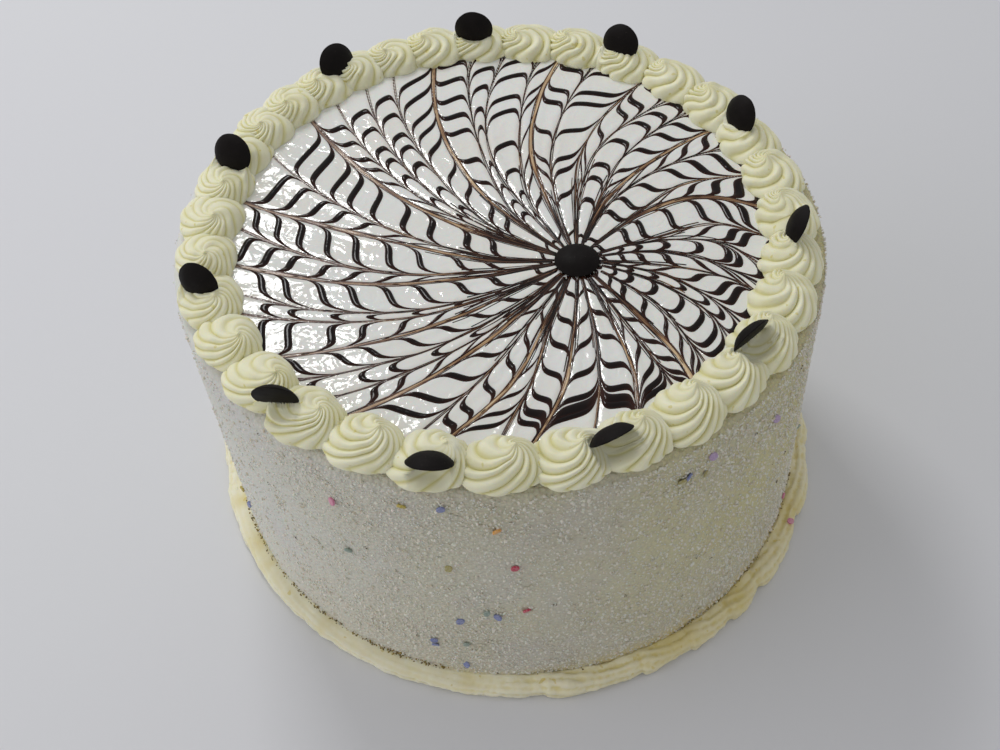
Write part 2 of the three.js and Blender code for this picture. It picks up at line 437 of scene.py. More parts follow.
def cream_finish(name, ridge, valley, spots):
    """Whipped cream: satin ridges, valleys painted darker and yellower as painted shade, and a few tiny
    spots of yolk yellow.
    """
    skin = Finish(name, Roughness=0.5, Subsurface_Weight=0.25, Subsurface_Scale=2.5 * MM)
    skin.shader.inputs["Subsurface Radius"].default_value = (1.0, 0.8, 0.45)
    skin.shader.inputs["Specular IOR Level"].default_value = 0.35
    # painted shade: the valleys between the ridges take the darker, yellower valley colour
    hollow = skin.spread(skin.painted("hollow"), -0.3, 0.9)
    base = skin.blend(hollow, ridge, valley)
    # random yellower patches of cream, in the same valley colour
    base = skin.blend(skin.spread(skin.noise(11 * MM, 3), 0.4, 0.75, 0, 0.35), base, valley)
    flecks = skin.spread(skin.noise(3.2 * MM, 1, 0.3), 0.735, 0.76)
    base = skin.blend(skin.sum("MULTIPLY", flecks, 0.5), base, spots)
    base = skin.blend(skin.painted("yellow"), base, spots)
    skin.colour(base)
    skin.roughness(skin.spread(skin.noise(4 * MM, 3), 0.3, 0.7, 0.42, 0.62))
    skin.bump(skin.noise(1.6 * MM, 4, 0.6), 0.18 * MM, 0.5)
    skin.bump(skin.noise(0.5 * MM, 2), 0.06 * MM, 0.4)
    return skin.material


def disc_finish():
    """Dark chocolate buttons, nearly matt, with dusty scuffs."""
    skin = Finish("chocolate_buttons", Roughness=0.6)
    skin.shader.inputs["Specular IOR Level"].default_value = 0.1
    bloom = skin.spread(skin.noise(5 * MM, 4), 0.4, 0.75)
    base = skin.blend(skin.sum("MULTIPLY", bloom, 0.5), shade(21, 18, 17), shade(33, 29, 29))
    dust = skin.spread(skin.noise(0.7 * MM, 2, 0.6), 0.7, 0.76)
    base = skin.blend(skin.sum("MULTIPLY", dust, 0.25), base, shade(104, 92, 86))
    skin.colour(base)
    skin.roughness(skin.spread(bloom, 0, 1, 0.55, 0.7))
    skin.bump(skin.noise(1.1 * MM, 3), 0.1 * MM, 0.5)
    return skin.material


def dot_finish():
    """Hard sugar dots in the colours they were pressed in."""
    skin = Finish("sugar_dots", Roughness=0.4)
    skin.colour(skin.blend(skin.spread(skin.noise(0.8 * MM), 0.4, 0.7, 0, 0.3),
                           skin.painted("sugar", "Color"), shade(235, 232, 228)))
    skin.bump(skin.noise(0.5 * MM), 0.08 * MM, 0.5)
    return skin.material


def floor_finish():
    skin = Finish("plain_floor", Roughness=0.85)
    skin.colour(skin.blend(skin.noise(0.6, 2), shade(226, 228, 229), shade(220, 220, 226)))
    skin.bump(skin.noise(1.5 * MM, 2), 0.1 * MM, 0.2)
    return skin.material


# ---- The crumb coat ----

LEAN_PER_HEIGHT = TOP_X / TOP_Z
WALL_STEPS_ROUND = 720
WALL_STEP_UP = 1.2 * MM

# What roughens the coat: its name, the size of its hills, how deep it is, and where it shows.
COAT_RELIEF = (
    ("knife_marks", 16 * MM, 0.9 * MM, "spread"),
    ("lumps", 5 * MM, 0.45 * MM, "spread"),
    ("sand", 1.9 * MM, 0.75 * MM, "grainy"),
)

# The directions, in degrees, in which the coat is coarsest, gets the most painted warm bounce light, and is
# yellowest at its foot.
COARSEST = math.radians(-52)
WARM_LIGHT_FROM = math.radians(5)
YELLOWEST = math.radians(-48)


def wall_radius(height):
    return FOOT_RADIUS + (TOP_RADIUS - FOOT_RADIUS) * height / TOP_Z


def on_wall(angle, height, out=0.0):
    """A point on the leaning wall, at that angle and height, that much proud of it."""
    radius = wall_radius(height) + out
    return np.stack([radius * np.cos(angle) + LEAN_PER_HEIGHT * height,
                     radius * np.sin(angle), height + 0 * angle], -1)


def sandiness(angle, height):
    """0 where the coat is smooth, on the left, to 1 where it is coarse, at the front right."""
    towards = np.cos(angle - COARSEST)
    level = np.clip((towards + 0.25) / 0.9, 0, 1)
    return np.clip(0.12 + 0.88 * level * (0.85 + 0.15 * np.sin(height * 60)), 0, 1)


def warm_bounce_light(angle):
    """Painted warm bounce light on the coat: from white on the left to an ivory tint on the right and
    behind.
    """
    return np.clip(0.12 + 0.8 * np.clip(0.5 + 0.62 * np.cos(angle - WARM_LIGHT_FROM), 0, 1) ** 1.5, 0, 1)


def foot_yellow(angle, height):
    """Where the border's yellow has soaked up into the coat, mostly at the front right."""
    towards = np.clip(np.cos(angle - YELLOWEST), 0, 1) ** 2
    ripple = 0.75 + 0.25 * np.sin(angle * 17) * np.sin(angle * 7 + 1)
    reach = (5 + 15 * towards * ripple) * MM
    return np.clip(1 - height / reach, 0, 1) * (0.3 + 0.65 * towards)


def build_crumb_coat():
    """The cake's side: its outline spun once round, leaned over and roughened."""
    foot = BODY_LOW.z
    top = BODY_TOP
    bend = [(TOP_RADIUS - TOP_EDGE_ROUND * (1 - math.cos(t)), top - TOP_EDGE_ROUND * (1 - math.sin(t)))
            for t in np.linspace(0, math.pi / 2, 6)]
    steps = round((top - TOP_EDGE_ROUND - foot) / WALL_STEP_UP)
    side = [(wall_radius(z), z) for z in np.linspace(foot, top - TOP_EDGE_ROUND, steps + 1)[:-1]]
    outline = [(0, foot), (FOOT_RADIUS * 0.9, foot)] + side + bend + [(TOP_RADIUS * 0.9, top), (0, top)]
    mesh = bpy.data.meshes.new("crumb_coat")
    mesh.from_pydata([(r, 0, z) for r, z in outline], [(i, i + 1) for i in range(len(outline) - 1)], [])
    coat = bpy.data.objects.new("crumb_coat", mesh)
    bpy.context.scene.collection.objects.link(coat)
    take(coat)
    bpy.ops.object.mode_set(mode="EDIT")
    bpy.ops.mesh.select_all(action="SELECT")
    bpy.ops.mesh.spin(steps=WALL_STEPS_ROUND, angle=TURN, center=(0, 0, 0), axis=(0, 0, 1))
    bpy.ops.object.mode_set(mode="OBJECT")
    face_out(coat)
    bpy.ops.object.shade_smooth()

    places = points_of(coat)
    angle = np.arctan2(places[:, 1], places[:, 0])
    height = places[:, 2]
    radius = np.hypot(places[:, 0], places[:, 1])
    on_side = np.clip((radius - 0.93 * FOOT_RADIUS) / (0.04 * FOOT_RADIUS), 0, 1)
    on_side *= np.clip(height / (2 * MM), 0, 1)
    sand = sandiness(angle, height)
    paint_values(coat, "sand", sand)
    paint_values(coat, "yellow", foot_yellow(angle, height))
    # warm holds the painted warm bounce light
    paint_values(coat, "warm", warm_bounce_light(angle))
    # low holds a painted light that brightens the sandy coat near its foot
    paint_values(coat, "low", 0.5 * np.clip(1 - height / (75 * MM), 0, 1) * np.clip(sand * 1.2, 0, 1))
    places[:, 0] += LEAN_PER_HEIGHT * height
    set_points(coat, places)

    spread = coat.vertex_groups.new(name="spread")
    grainy = coat.vertex_groups.new(name="grainy")
    for i in range(len(places)):
        spread.add([i], float(on_side[i]), "REPLACE")
        grainy.add([i], float(on_side[i] * (0.15 + 0.85 * sand[i])), "REPLACE")
    for name, size, depth, group in COAT_RELIEF:
        roughen(coat, name, size, depth, group)
    apply_modifiers(coat)
    places = points_of(coat)
    places[:, 2] = np.maximum(places[:, 2], foot)
    set_points(coat, places)
    finish(coat, crumb_coat_finish(), "crumb_coat", "cake_body")


# ---- Crumbs, dots and specks ----

# How many places are tried for each kind of crumb, and how many crumbs there are at most.
FINE_TRIES = 34000
FINE_CRUMBS = 24000
COARSE_TRIES = 26000
COARSE_CRUMBS = 9800
CRUMB_PROUD = 0.1 * MM
SEAM_TRIES = 520
SEAM_HEIGHT = 8.1

def octahedron():
    points = np.array([(1, 0, 0), (-1, 0, 0), (0, 1, 0), (0, -1, 0), (0, 0, 1), (0, 0, -1)], float)
    faces = [(0, 2, 4), (2, 1, 4), (1, 3, 4), (3, 0, 4), (2, 0, 5), (1, 2, 5), (3, 1, 5), (0, 3, 5)]
    return points, np.array(faces)


def icosahedron():
    mesh = bmesh.new()
    bmesh.ops.create_icosphere(mesh, subdivisions=1, radius=1)
    points = np.array([v.co for v in mesh.verts])
    faces = np.array([[v.index for v in f.verts] for f in mesh.faces])
    mesh.free()
    return points, faces


def random_turns(count):
    """That many random rotation matrices."""
    quaternion = chance.normal(size=(count, 4))
    quaternion /= np.linalg.norm(quaternion, axis=1)[:, None]
    w, x, y, z = quaternion.T
    rows = [1 - 2 * (y * y + z * z), 2 * (x * y - z * w), 2 * (x * z + y * w),
            2 * (x * y + z * w), 1 - 2 * (x * x + z * z), 2 * (y * z - x * w),
            2 * (x * z - y * w), 2 * (y * z + x * w), 1 - 2 * (x * x + y * y)]
    return np.stack(rows, -1).reshape(-1, 3, 3)


def scatter(name, shape, middles, sizes, uneven=0.25):
    """One mesh of many small lumps: the shape at each middle, each one turned and squeezed its own way."""
    points, faces = shape
    count = len(middles)
    shaken = points[None] * (1 + uneven * chance.uniform(-1, 1, (count, len(points), 1)))
    squeezed = shaken * chance.uniform(0.6, 1.15, (count, 1, 3)) * sizes[:, None, None]
    turned = np.einsum("nij,npj->npi", random_turns(count), squeezed)
    all_points = (turned + middles[:, None]).reshape(-1, 3)
    all_faces = (faces[None] + (np.arange(count) * len(points))[:, None, None]).reshape(-1, faces.shape[1])
    piece = mesh_piece(name, all_points, all_faces, smooth=False)
    paint_values(piece, "tone", np.repeat(chance.uniform(0, 1, count) ** 1.6, len(points)))
    return piece


def sprinkle_on_wall(tries, wanted):
    """Random angles and heights on the wall, kept as often as wanted(angle, height) says."""
    angle = chance.uniform(-math.pi, math.pi, tries)
    height = chance.uniform(5 * MM, BODY_TOP - 1 * MM, tries)
    kept = chance.uniform(0, 1, tries) < wanted(angle, height)
    return angle[kept], height[kept]


def build_crumbs():
    """Fine crumbs all round and coarse ones where the coat is sandy, each half sunk in it."""
    angle, height = sprinkle_on_wall(FINE_TRIES, lambda a, h: 0.08 + 0.92 * sandiness(a, h))
    angle = angle[:FINE_CRUMBS]
    height = height[:FINE_CRUMBS]
    sizes = chance.uniform(0.28, 0.55, len(angle)) * MM
    fine = scatter("fine_crumbs", octahedron(), on_wall(angle, height, CRUMB_PROUD), sizes)
    finish(fine, crumb_finish("fine_crumbs", shade(233, 232, 227), shade(212, 209, 197)), "crumb_coat")

    angle, height = sprinkle_on_wall(COARSE_TRIES, lambda a, h: 0.04 + 0.9 * sandiness(a, h) ** 2)
    angle = angle[:COARSE_CRUMBS]
    height = height[:COARSE_CRUMBS]
    sizes = chance.uniform(0.4, 0.85, len(angle)) * MM
    coarse = scatter("coarse_crumbs", icosahedron(), on_wall(angle, height, CRUMB_PROUD), sizes)
    finish(coarse, crumb_finish("coarse_crumbs", shade(234, 231, 219), shade(204, 198, 178)), "crumb_coat")


# The dots' colours as they look.
DOT_PINK = (214, 128, 160)
DOT_YELLOW = (190, 170, 60)
DOT_BLUE = (118, 128, 178)
DOT_ORANGE = (226, 160, 60)
DOT_GREEN = (140, 158, 146)
DOT_RED = (190, 44, 76)
DOT_LILAC = (176, 150, 186)
DOT_OLIVE = (168, 158, 96)

# Sugar dots on the side that the photo shows: angle in degrees, height in mm, and colour.
SUGAR_DOTS = (
    (-118.7, 117.1, DOT_PINK), (-105.8, 129.8, DOT_YELLOW), (-99.4, 132.2, DOT_BLUE),
    (-91.1, 120.0, DOT_ORANGE), (-118.2, 83.8, DOT_GREEN), (-99.8, 91.8, DOT_OLIVE),
    (-88.8, 94.2, DOT_RED), (-87.5, 62.1, DOT_RED), (-99.3, 51.3, DOT_BLUE), (-92.6, 56.9, DOT_BLUE),
    (-94.4, 59.8, DOT_GREEN), (-98.9, 32.2, DOT_GREEN), (-104.8, 27.4, DOT_BLUE),
    (-104.9, 31.0, DOT_BLUE), (-99.5, 14.2, DOT_BLUE), (-59.1, 125.3, DOT_BLUE),
    (-60.4, 124.6, DOT_OLIVE), (-54.4, 129.9, DOT_LILAC), (-55.6, 121.0, DOT_OLIVE),
)
DOTS_BEHIND = 24
DOT_RADIUS = 1.6 * MM
DOT_THICKNESS = 0.9 * MM
DOT_PROUD = 0.75 * MM


def model_dot():
    """One sugar dot: a short cylinder with its rims bevelled."""
    drop_selection()
    bpy.ops.mesh.primitive_cylinder_add(vertices=14, radius=DOT_RADIUS, depth=DOT_THICKNESS)
    dot = bpy.context.object
    bpy.ops.object.mode_set(mode="EDIT")
    bpy.ops.mesh.select_all(action="SELECT")
    bpy.ops.mesh.bevel(offset=0.2 * MM, segments=1)
    bpy.ops.object.mode_set(mode="OBJECT")
    points = points_of(dot)
    faces = [list(face.vertices) for face in dot.data.polygons]
    bpy.data.objects.remove(dot)
    return points, faces


def build_sugar_dots():
    points, faces = model_dot()
    rows = [(math.radians(angle), height * MM, colour) for angle, height, colour in SUGAR_DOTS]
    colours = (DOT_PINK, DOT_YELLOW, DOT_BLUE, DOT_BLUE, DOT_ORANGE, DOT_GREEN, DOT_RED, DOT_LILAC)
    for _ in range(DOTS_BEHIND):
        angle = math.radians(chance.uniform(-40, 210))
        rows.append((angle, chance.uniform(12, 132) * MM, colours[chance.integers(len(colours))]))
    parts = []
    tones = []
    for angle, height, colour in rows:
        out = Vector((math.cos(angle), math.sin(angle), 0))
        turn = out.to_track_quat("Z", "Y") @ Quaternion((1, 0, 0), chance.uniform(-0.5, 0.5))
        turn = turn @ Quaternion((0, 1, 0), chance.uniform(-0.5, 0.5))
        size = chance.uniform(0.85, 1.15)
        place = on_wall(np.float64(angle), height, DOT_PROUD)
        matrix = np.array(turn.to_matrix()) * size
        parts.append((points @ matrix.T + place, faces))
        tones += [shade(*colour)] * len(points)
    border_dot = on_border(math.radians(-24), 0.5)
    parts.append((points + border_dot, faces))
    tones += [shade(*DOT_PINK)] * len(points)
    all_points, all_faces = join_parts(parts)
    dots = mesh_piece("sugar_dots", all_points, all_faces, smooth=False)
    paint_colours(dots, "sugar", tones)
    take(dots)
    bpy.ops.object.shade_smooth_by_angle(angle=math.radians(40))
    finish(dots, dot_finish(), "crumb_coat")


# Small dark specks in the coat: angle and height in mm.
WALL_SPECKS = (
    (-132.6, 133.8), (-135.0, 96.5), (-115.2, 118.3), (-114.4, 91.2), (-131.7, 64.7), (-101.1, 98.9),
    (-108.1, 30.6), (-109.1, 22.4), (-82.6, 64.0), (-85.1, 9.0), (-43.5, 120.8), (-28.9, 70.9),
    (-30.7, 55.2), (-57.9, 36.6), (-51.7, 52.4), (-55.4, 61.5), (-70.0, 58.4), (-35.1, 80.1), (-55.0, 94.1),
)
SPECKS_BEHIND = 40


def build_specks():
    """Tiny rings and grains of dark crumb in the coat."""
    angles = [math.radians(angle) for angle, _ in WALL_SPECKS]
    heights = [height * MM for _, height in WALL_SPECKS]
    angles += list(chance.uniform(math.radians(-40), math.radians(215), SPECKS_BEHIND))
    heights += list(chance.uniform(10 * MM, 134 * MM, SPECKS_BEHIND))
    middles = []
    sizes = []
    for angle, height in zip(angles, heights):
        grains = chance.integers(3, 7)
        for grain in range(grains):
            around = TURN * grain / grains + chance.uniform(-0.4, 0.4)
            reach = chance.uniform(0.3, 0.9) * MM
            spot = angle + reach * math.cos(around) / FOOT_RADIUS
            middles.append(on_wall(np.float64(spot), height + reach * math.sin(around), 0.35 * MM))
            sizes.append(chance.uniform(0.16, 0.34) * MM)
    specks = scatter("dark_specks", octahedron(), np.array(middles), np.array(sizes))
    finish(specks, crumb_finish("dark_specks", shade(70, 66, 58), shade(120, 112, 98)), "crumb_coat")


def build_seam_crumbs():
    """Brown and olive crumbs caught in the seam above the foot border, thickest at the front left."""
    parts = ((-163, -103, 0.7), (-60, -10, 0.12), (-180, 180, 0.18))
    angle = np.concatenate([np.radians(chance.uniform(low, high, int(SEAM_TRIES * share)))
                            for low, high, share in parts])
    clumps = 0.5 + 0.5 * np.sin(angle * 31) * np.sin(angle * 13 + 2)
    angle = angle[chance.uniform(0, 1, len(angle)) < 0.3 + 0.7 * clumps]
    height = (SEAM_HEIGHT + chance.normal(0, 0.5, len(angle))) * MM
    middles = on_wall(angle, height, chance.uniform(0.2, 1.6, len(angle)) * MM)
    sizes = chance.uniform(0.2, 0.5, len(angle)) * MM
    crumbs = scatter("seam_crumbs", icosahedron(), middles, sizes)
    finish(crumbs, crumb_finish("seam_crumbs", shade(96, 82, 46), shade(168, 148, 74)), "crumb_coat")


# ---- The foot border ----

BORDER_WIDTH = 9.4 * MM
BORDER_HEIGHT = 8 * MM
BORDER_LINE = FOOT_RADIUS + WALL_GAP + BORDER_WIDTH / 2

# Where each stroke of the border begins, in degrees round the cake, where the photo shows it.
BORDER_JOINTS = (-171, -152, -134, -107, -85.6, -67.5, -57.3, -47.3, -38.9, -20.9, -3.7)
BACK_STROKE = 14.5

# The cream smeared up the wall behind the border.
FILLET_WIDTH = 4.6 * MM
FILLET_LINE = FOOT_RADIUS + 1.5 * MM
FILLET_RISE = 4.2 * MM

# Between these directions, in degrees, the border is smeared flat.
SMOOTH_FROM = -176
SMOOTH_TO = -100

# Spots of yellow on the border: where, in degrees, how wide, in degrees, and how strong.
BORDER_SPOTS = (
    (-163.5, 1.6, 0.9), (-152.5, 2.2, 0.8), (-147, 1.2, 0.5), (-129, 1.5, 0.5), (-99.5, 1.4, 0.4),
    (-60, 5, 0.35), (-44, 4, 0.3), (-22, 4, 0.3),
)


def on_border(angle, up):
    """A point on the border's back, as far up as given, from 0 at the wall side to 1 outside."""
    radius = BORDER_LINE + 1.5 * MM
    return np.array([radius * math.cos(angle), radius * math.sin(angle), BORDER_HEIGHT * (0.85 + 0.1 * up)])


def star_outline(name, lobes, depth, steps=6):
    """The nozzle's opening as a closed curve of radius one millimetre: round lobes, sharp valleys."""
    data = bpy.data.curves.new(name, "CURVE")
    data.dimensions = "2D"
    line = data.splines.new("POLY")
    count = lobes * steps
    line.points.add(count - 1)
    for i in range(count):
        angle = TURN * i / count
        reach = MM * (1 - depth * (1 - abs(math.cos(lobes * angle / 2))) ** 0.8)
        line.points[i].co = (reach * math.cos(angle), reach * math.sin(angle), 0, 1)
    line.use_cyclic_u = True
    outline = bpy.data.objects.new(name, data)
    bpy.context.scene.collection.objects.link(outline)
    return outline


def pipe_rope(name, route, widths, tilts, outline):
    """A rope of cream along the route, its section the nozzle's outline at those widths, as a mesh."""
    data = bpy.data.curves.new(name, "CURVE")
    data.dimensions = "3D"
    data.twist_mode = "Z_UP"
    data.bevel_mode = "OBJECT"
    data.bevel_object = outline
    data.use_fill_caps = True
    line = data.splines.new("POLY")
    line.points.add(len(route) - 1)
    for point, place, width, tilt in zip(line.points, route, widths, tilts):
        point.co = (*place, 1)
        point.radius = width / MM
        point.tilt = tilt
    rope = bpy.data.objects.new(name, data)
    bpy.context.scene.collection.objects.link(rope)
    take(rope)
    bpy.ops.object.convert(target="MESH")
    return bpy.context.object


def fuse(ropes, name, voxel, rounds, factor=0.5):
    """Joins ropes into one skin and softens it."""
    drop_selection()
    for rope in ropes:
        rope.select_set(True)
    bpy.context.view_layer.objects.active = ropes[0]
    if len(ropes) > 1:
        bpy.ops.object.join()
    piece = bpy.context.view_layer.objects.active
    piece.name = name
    piece.data.name = name
    add_modifier(piece, "REMESH", mode="VOXEL", voxel_size=voxel, use_smooth_shade=True)
    add_modifier(piece, "SMOOTH", factor=factor, iterations=rounds)
    apply_modifiers(piece)
    return piece


def border_joints():
    joints = list(BORDER_JOINTS)
    angle = joints[-1]
    while angle + BACK_STROKE * 1.4 < joints[0] + 360:
        angle += BACK_STROKE * chance.uniform(0.9, 1.1)
        joints.append(angle)
    return joints


def build_border(cream):
    """Long strokes of cream, each laid over the tail of the one before, and the smear behind them."""
    outline = star_outline("border_nozzle", 7, 0.24)
    ropes = []
    joints = border_joints()
    for start, after in zip(joints, joints[1:] + [joints[0] + 360]):
        flat = SMOOTH_FROM < start < SMOOTH_TO
        span = after - start
        route = []
        widths = []
        tilts = []
        for t in np.linspace(-0.06, 1.22, 26):
            angle = math.radians(start + span * t)
            head = math.exp(-((t - 0.16) / 0.3) ** 2)
            swell = 0.86 + (0.04 if flat else 0.34) * head - 0.5 * max(0, t - 0.9)
            if t < 0.02:
                swell *= 0.75
            width = BORDER_WIDTH / 2 * swell
            line = BORDER_LINE - 0.6 * MM + (0.1 if flat else 0.9) * MM * math.sin(math.pi * min(t, 1))
            rise = BORDER_HEIGHT * (0.42 + 0.05 * head)
            route.append((line * math.cos(angle), line * math.sin(angle), rise))
            widths.append(width)
            tilts.append(0.5 + 0.9 * t)
        ropes.append(pipe_rope("stroke", route, widths, tilts, outline))
    turns = np.linspace(0, TURN, 241)
    smear = FILLET_WIDTH * (1 + 0.25 * slow_noise(turns, 0.2, 4) * np.abs(np.sin(turns / 2)))
    x = FILLET_LINE * np.cos(turns)
    y = FILLET_LINE * np.sin(turns)
    fillet = np.stack([x, y, FILLET_RISE + 0.3 * smear], -1)
    ropes.append(pipe_rope("fillet", fillet, smear / 2, 0 * turns, outline))
    border = fuse(ropes, "foot_border_cream", 0.65 * MM, 2)
    roughen(border, "border_lumps", 9 * MM, 2.4 * MM)
    roughen(border, "border_tears", 2.4 * MM, 0.55 * MM)
    apply_modifiers(border)
    bpy.data.objects.remove(outline)
    shape_border(border)
    finish(border, cream, "border_cream", "foot_border")


def shape_border(border):
    """Keeps the border above the floor and inside its width, and smears its left side flat."""
    places = points_of(border)
    angle = np.arctan2(places[:, 1], places[:, 0])
    turn = np.degrees(angle)
    smear = np.clip((turn - SMOOTH_FROM) / 8, 0, 1) * np.clip((SMOOTH_TO + 14 - turn) / 14, 0, 1)
    radius = np.hypot(places[:, 0], places[:, 1])
    height = places[:, 2]
    flat_top = BORDER_HEIGHT * (0.72 - 0.28 * (radius - FOOT_RADIUS) / BORDER_WIDTH)
    height = np.where(height > flat_top, height + smear * 0.75 * (flat_top - height), height)
    radius = np.minimum(radius, BORDER_HIGH.x + 0.8 * MM)
    places[:, 0] = radius * np.cos(angle)
    places[:, 1] = radius * np.sin(angle)
    places[:, 2] = np.maximum(height, 0.05 * MM)
    set_points(border, places)
    warm = np.clip(np.cos(angle - math.radians(-40)), 0, 1)
    blots = np.zeros(len(angle))
    for where, size, much in BORDER_SPOTS:
        blots += much * np.exp(-(((turn - where) / size) ** 2)) * np.clip(height / BORDER_HEIGHT, 0, 1) ** 2
    # hollow marks the valleys that get the cream's painted shade
    paint_values(border, "hollow", hollows_of(border))
    paint_values(border, "yellow", np.clip(blots + 0.3 * warm ** 2, 0, 1))


# ---- The glaze and the chocolate web ----

# The web's strokes meet a little behind the disc that lies on it.
WEB_X = 25.3 * MM
WEB_Y = -21.0 * MM
WEB_EDGE = 104 * MM
WEB_HIDDEN_EDGE = 113 * MM
GLAZE_SINK = 0.5 * MM

# The chocolate was piped as one spiral. Its distance from the web's middle every eighth of a turn,
# in mm, in rows that start at 180 degrees.
SPIRAL_START = -135
SPIRAL = (
           9,  9.5, 10, 10.5, 12, 15, 14.5,
    14,   20, 17.5, 17, 17.5, 26.5, 37, 34.5,
    33.5, 33.5, 31, 24, 25, 35, 52, 43.5,
    46, 47.5, 43.5, 35, 35.5, 49.5, 59.5, 58.5,
    62, 60, 57.5, 47.5, 49, 64, 77, 71.5,
    74.5, 74.5, 68.5, 57, 60.5, 75, 95.5, 88,
    88, 89.5, 73, 65, 65, 86, 103.5, 98.5,
    100, 99.5, 76, 70, 75, 93, 118, 106,
    113, 118, 95, 85, 90, 105, 127, 118,
    123, 128, 105, 95, 100, 115, 136, 128.5,
    133, 138,
)

# Each stroke of the comb: its direction from the web's middle near it (35 mm out), at 60 mm and at the
# rim, in degrees; 1 where it was drawn outwards and -1 inwards; its width in mm; and how tan it is.
COMB = (
    (7, -5.5, -10, -1, 0.6, 0.1), (18, 7, -2, -1, 0.6, 0.1), (21, 18.5, 10.5, 1, 0.7, 0.3),
    (44, 35, 22, -1, 2.0, 0.6), (46, 43.5, 34, 1, 0.7, 0.4), (66, 56, 45, -1, 0.5, 0.1),
    (69.5, 61, 52, 1, 1.6, 0.9), (73, 70.5, 60, -1, 0.5, 0.1), (86, 81.5, 66, -1, 0.5, 0.1),
    (89, 86.5, 74, 1, 0.7, 0.5), (102, 98, 85, -1, 0.5, 0.2), (107.5, 105.5, 92, 1, 1.8, 0.95),
    (118.5, 110.5, 96, -1, 0.4, 0.1), (123, 120.5, 103, -1, 0.5, 0.1), (133, 124, 109, -1, 0.5, 0.1),
    (136.5, 132.5, 116, 1, 1.7, 0.9), (150, 142, 124, -1, 0.5, 0.1), (152, 147.6, 129.5, -1, 0.4, 0.1),
    (154, 151.2, 136, -1, 0.4, 0.15), (157.5, 155, 142, 1, 1.8, 0.8), (175, 169, 153, -1, 0.6, 0.3),
    (178.5, 172.5, 165, 1, 1.5, 0.75), (188.5, 186, 171, -1, 1.1, 0.5), (191.5, 190, 180, 1, 1.6, 0.75),
    (206.5, 203, 187, -1, 0.5, 0.2), (209, 205.5, 192, -1, 0.7, 0.4), (212.5, 211, 203, 1, 1.3, 0.7),
    (224, 220, 210, -1, 0.5, 0.2), (227.5, 224.5, 216.5, -1, 0.5, 0.2), (230.5, 228.5, 222.5, 1, 1.6, 0.9),
    (239.5, 238.5, 235, -1, 0.5, 0.2), (247.5, 247.5, 241.5, 1, 1.6, 0.9),
    (251.2, 252.5, 251, -1, 0.8, 0.3), (266.5, 264, 259.5, 1, 1.5, 0.85),
    (278, 275.5, 273, -1, 0.9, 0.4), (290.5, 288, 285, 1, 1.3, 0.6),
    (297, 297.5, 297, -1, 0.6, 0.2), (307, 305.5, 304, 1, 2.2, 1.0), (322, 313, 311, -1, 0.5, 0.1),
    (338, 328, 324, -1, 0.5, 0.1), (346, 335, 332, -1, 0.5, 0.1), (354.5, 349.5, 346, 1, 0.7, 0.3),
)
NEAR_RADIUS = 35 * MM
HALF_RADIUS = 60 * MM

# How far the comb pulled the chocolate right beside a stroke, and more gently further off.
STROKE_PULL = 11.5 * MM
STROKE_REACH = 1.05 * MM
DRAG_PULL = 1.9 * MM
DRAG_REACH = 4.0 * MM
LINE_WIDTH = 3.05 * MM
SHORT_HAIR = 0.42

# The chocolate line's section, from edge to edge: how far across and how high.
LINE_PROFILE = (
    (-1.0, 0.0), (-0.85, 0.45), (-0.45, 0.88), (0.0, 1.0), (0.45, 0.88), (0.85, 0.45), (1.0, 0.0),
)

# Near the middle the strokes widen where the chocolate pooled: by how much, how far out and how broadly.
POOLED_HALF = 0.72 * MM
POOLED_RADIUS = 14 * MM
POOLED_REACH = 9 * MM
LINE_HEIGHT = 0.65 * MM


def rim_distance(angle, radius):
    """How far from the web's middle a circle about the cake's top centre lies, in that direction."""
    away_x = WEB_X - TOP_X
    along = -(away_x * np.cos(angle) + WEB_Y * np.sin(angle))
    across = away_x * np.sin(angle) - WEB_Y * np.cos(angle)
    return along + np.sqrt(radius ** 2 - across ** 2)


def stroke_angles(radius):
    """The direction of every stroke at each of the given distances from the web's middle, in radians."""
    near, half, rim = np.radians(np.array(COMB)[:, :3]).T
    rim_radius = rim_distance(rim, WEB_EDGE)
    radius = np.asarray(radius)[..., None]
    inner = (half - near) / (HALF_RADIUS - NEAR_RADIUS)
    outer = (rim - half) / (rim_radius - HALF_RADIUS)
    middle = (inner + outer) / 2

    def curve(start, end, slope_start, slope_end, low, high):
        t = np.clip((radius - low) / (high - low), 0, 1)
        length = high - low
        return (start * (2 * t ** 3 - 3 * t ** 2 + 1) + length * slope_start * (t ** 3 - 2 * t ** 2 + t)
                + end * (3 * t ** 2 - 2 * t ** 3) + length * slope_end * (t ** 3 - t ** 2))

    first = curve(near, half, inner, middle, NEAR_RADIUS, HALF_RADIUS)
    second = curve(half, rim, middle, outer, HALF_RADIUS, rim_radius)
    beyond = rim + outer * (radius - rim_radius)
    before = near - 0.5 * inner * (NEAR_RADIUS - radius)
    angle = np.where(radius < NEAR_RADIUS, before, np.where(radius < HALF_RADIUS, first, second))
    return np.where(radius > rim_radius, beyond, angle)


def cell_of(angle, radius):
    """Which two strokes each point lies between, and how far across from the first to the second."""
    strokes = stroke_angles(radius)
    strokes = np.concatenate([strokes, strokes[..., :1] + TURN], -1)
    turned = strokes[..., 0] + np.mod(angle - strokes[..., 0], TURN)
    cell = np.clip((strokes <= turned[..., None]).sum(-1) - 1, 0, len(COMB) - 1)
    left = np.take_along_axis(strokes, cell[..., None], -1)[..., 0]
    right = np.take_along_axis(strokes, cell[..., None] + 1, -1)[..., 0]
    return cell, left, right, (turned - left) / (right - left)


